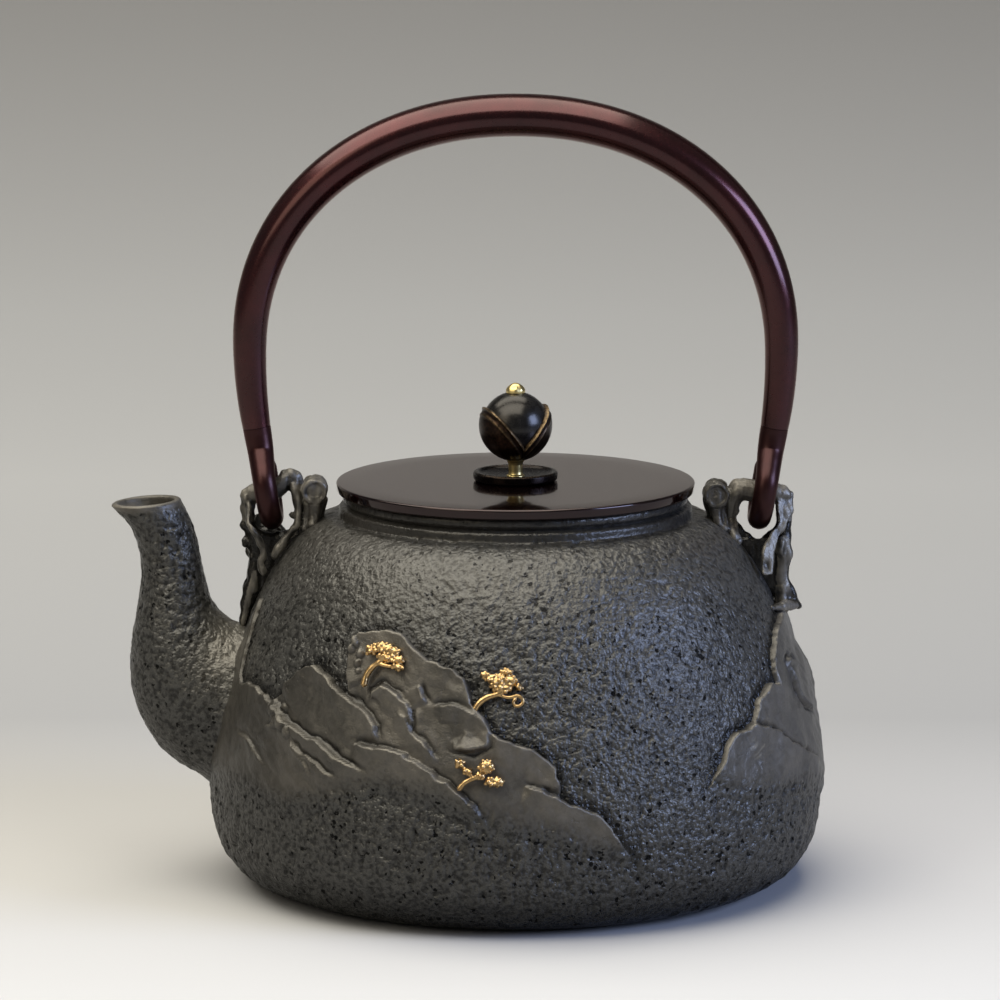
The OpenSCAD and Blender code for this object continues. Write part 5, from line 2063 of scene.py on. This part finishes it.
@dataclass
class Studio:
    """A pale table that rises into a backdrop, soft lights and the camera."""

    lens: float = 208.8
    eye: tuple[float, float, float] = (0.0, -1400.0, 329.7)
    aim: tuple[float, float, float] = (-3.8, 0.0, 93.7)
    near: float = -1800.0
    bend: float = 500.0         # where the table starts to rise
    bend_r: float = 1500.0
    top: float = 2600.0
    half: float = 2600.0
    bounce: float = 0.55        # how pale the paper in front stays for all rays but the camera's: painted shade that the kettle sees in reflections and bounced light

    # the paper's colour at distances in metres behind the kettle's middle: paler in front and darker behind,
    # a painted falloff of the light
    falloff_tones: tuple = ((-0.12, "#cdcdce"), (0.02, "#bfbebe"), (0.19, "#a3a3a4"), (0.58, "#aeaeae"),
                    (0.80, "#a5a5a5"), (1.10, "#8b8a89"))

    def backdrop(self) -> Object:
        """Make the table and the wall behind it as one bent sheet.

        Returns:
            The sheet.
        """
        a = np.linspace(0, pi / 2, 33)
        flat = [(y, 0.0) for y in np.linspace(self.near, self.bend, 12)]
        bend = [(self.bend + self.bend_r * sin(t), self.bend_r * (1 - cos(t))) for t in a[1:]]
        line = flat + bend + [(self.bend + self.bend_r, self.top)]
        points = [(x, y, z) for y, z in line for x in (-self.half, self.half)]
        faces = [[2 * i, 2 * i + 1, 2 * i + 3, 2 * i + 2] for i in range(len(line) - 1)]
        sheet = mesh_object("backdrop", np.array(points), faces)
        material = bpy.data.materials.new("backdrop_paper")
        material.use_nodes = True
        tree = material.node_tree
        place = add(tree, "ShaderNodeTexCoord").outputs["Object"]
        deep = add(tree, "ShaderNodeSeparateXYZ", Vector=place).outputs["Y"]
        first, last = self.falloff_tones[0][0], self.falloff_tones[-1][0]
        share = add(tree, RANGE, Value=deep, From_Min=first, From_Max=last)
        stops = [((y - first) / (last - first), code) for y, code in self.falloff_tones]
        # the painted falloff, as the camera sees it
        painted_falloff = add(tree, RAMP, {"stops": stops}, Fac=share)
        seen = add(tree, "ShaderNodeLightPath").outputs["Is Camera Ray"]
        # painted shade on the paper in front, for all rays but the camera's
        thrown = add(tree, RANGE, SMOOTH, Value=deep, From_Min=-0.10, From_Max=0.45, To_Min=self.bounce)
        front_shaded = add(tree, MIX, COLOURS, i0=thrown, i6="#000000", i7=painted_falloff)
        colour = add(tree, MIX, COLOURS, i0=seen, i6=front_shaded, i7=painted_falloff)
        wire(tree, tree.nodes["Principled BSDF"], Base_Color=colour, Roughness=0.9, Specular_IOR_Level=0.1)
        sheet.data.materials.append(material)
        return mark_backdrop(sheet)

    def lamp(self, name: str, place: tuple, size: tuple, watts: float, colour: str,
             look: tuple = (0, 0, 70)) -> None:
        """Hang a soft box that faces the kettle.

        Args:
            name: the light's name.
            place: where it hangs.
            size: its width and height.
            watts: its power.
            colour: its sRGB hex colour.
            look: the point that it faces.
        """
        data = bpy.data.lights.new(name, "AREA")
        data.shape = "RECTANGLE"
        data.size, data.size_y = size[0] * MM, size[1] * MM
        data.energy = watts
        data.color = srgb(colour)[:3]
        lamp = linked(name, data)
        lamp.location = Vector(place) * MM
        lamp.rotation_euler = (Vector(look) - Vector(place)).to_track_quat("-Z", "Y").to_euler()

    def build(self) -> None:
        """Set the stage, the lights and the camera."""
        self.backdrop()
        self.lamp("ceiling", (-420, -100, 1400), (1900, 2100), 42, "#fffaec", (-420, -90, 0))
        self.lamp("window", (1150, -480, 520), (600, 600), 12, "#b4c9fa")
        self.lamp("fill", (-1000, -950, 800), (800, 800), 2.8, "#fff3d8")
        scene = bpy.context.scene
        scene.world = bpy.data.worlds.new("room")
        scene.world.use_nodes = True
        room = scene.world.node_tree
        wire(room, room.nodes["Background"], Color="#b9babd", Strength=0.22)
        scene.camera = linked("camera", bpy.data.cameras.new("camera"))
        scene.camera.data.lens = self.lens
        scene.camera.data.clip_end = 20
        scene.camera.location = Vector(self.eye) * MM
        ahead = Vector(self.aim) - Vector(self.eye)
        scene.camera.rotation_euler = ahead.to_track_quat("-Z", "Y").to_euler()
        scene.view_settings.view_transform = "Standard"


def mount(piece: Object, body: str, slot: str, *nodes: str) -> None:
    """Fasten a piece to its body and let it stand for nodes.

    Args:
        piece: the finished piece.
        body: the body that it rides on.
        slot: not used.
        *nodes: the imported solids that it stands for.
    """
    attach(piece, body)
    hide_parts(*nodes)
    LOG.info("%s: %d corners, for %s", piece.name, len(piece.data.vertices), ", ".join(nodes))


def finish_kept(frame: dict, node: str, finish: Finish) -> None:
    """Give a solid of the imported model, kept as it is, its finish."""
    finish.put_on(frame["nodes"][node])
    LOG.info("%s: kept, in %s", node, finish.name)


def main() -> None:
    """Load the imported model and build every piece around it."""
    logging.basicConfig(level=logging.INFO, format="%(name)s: %(message)s", stream=sys.stdout)
    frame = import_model()
    Studio().build()

    front, side = front_mountain(), side_mountain()
    mount(CastBody([front, side]).build(), "kettle", "cast_skin", "kettle_body")
    mount(Spout().build(), "kettle", "cast_skin", "spout")
    mount(front.build(), "kettle", "smooth_iron", "front_mountain")
    mount(side.build(), "kettle", "smooth_iron", "side_mountain")
    for node, pine in pines().items():
        mount(pine.build(), "kettle", "gilt", node)
    mount(Ear(Hand.LEFT).build(), "kettle", "smooth_iron", "left_ear")
    mount(Ear(Hand.RIGHT).build(), "kettle", "smooth_iron", "right_ear")

    bail = Bail()
    mount(bail.tube(), "bail", "lacquered_copper", "bail_tube")
    mount(bail.hook(Hand.LEFT), "bail", "lacquered_copper", "left_hook")
    mount(bail.hook(Hand.RIGHT), "bail", "lacquered_copper", "right_hook")

    mount(Lid().build(), "lid", "dark_copper", "lid_plate")
    finish_kept(frame, "lid_flange", LID_COPPER)
    knob = Knob()
    mount(knob.seat(), "knob", "dark_bronze", "knob_seat")
    mount(knob.stem(), "knob", "brass", "knob_stem")
    mount(knob.bud(), "knob", "black_bronze", "knob_bud")
    mount(knob.sepals(), "knob", "dark_bronze", "knob_sepals")
    mount(knob.cap(), "knob", "brass", "knob_cap")
    finish_kept(frame, "knob_washer", BRASS)


if __name__ == "__main__":
    main()
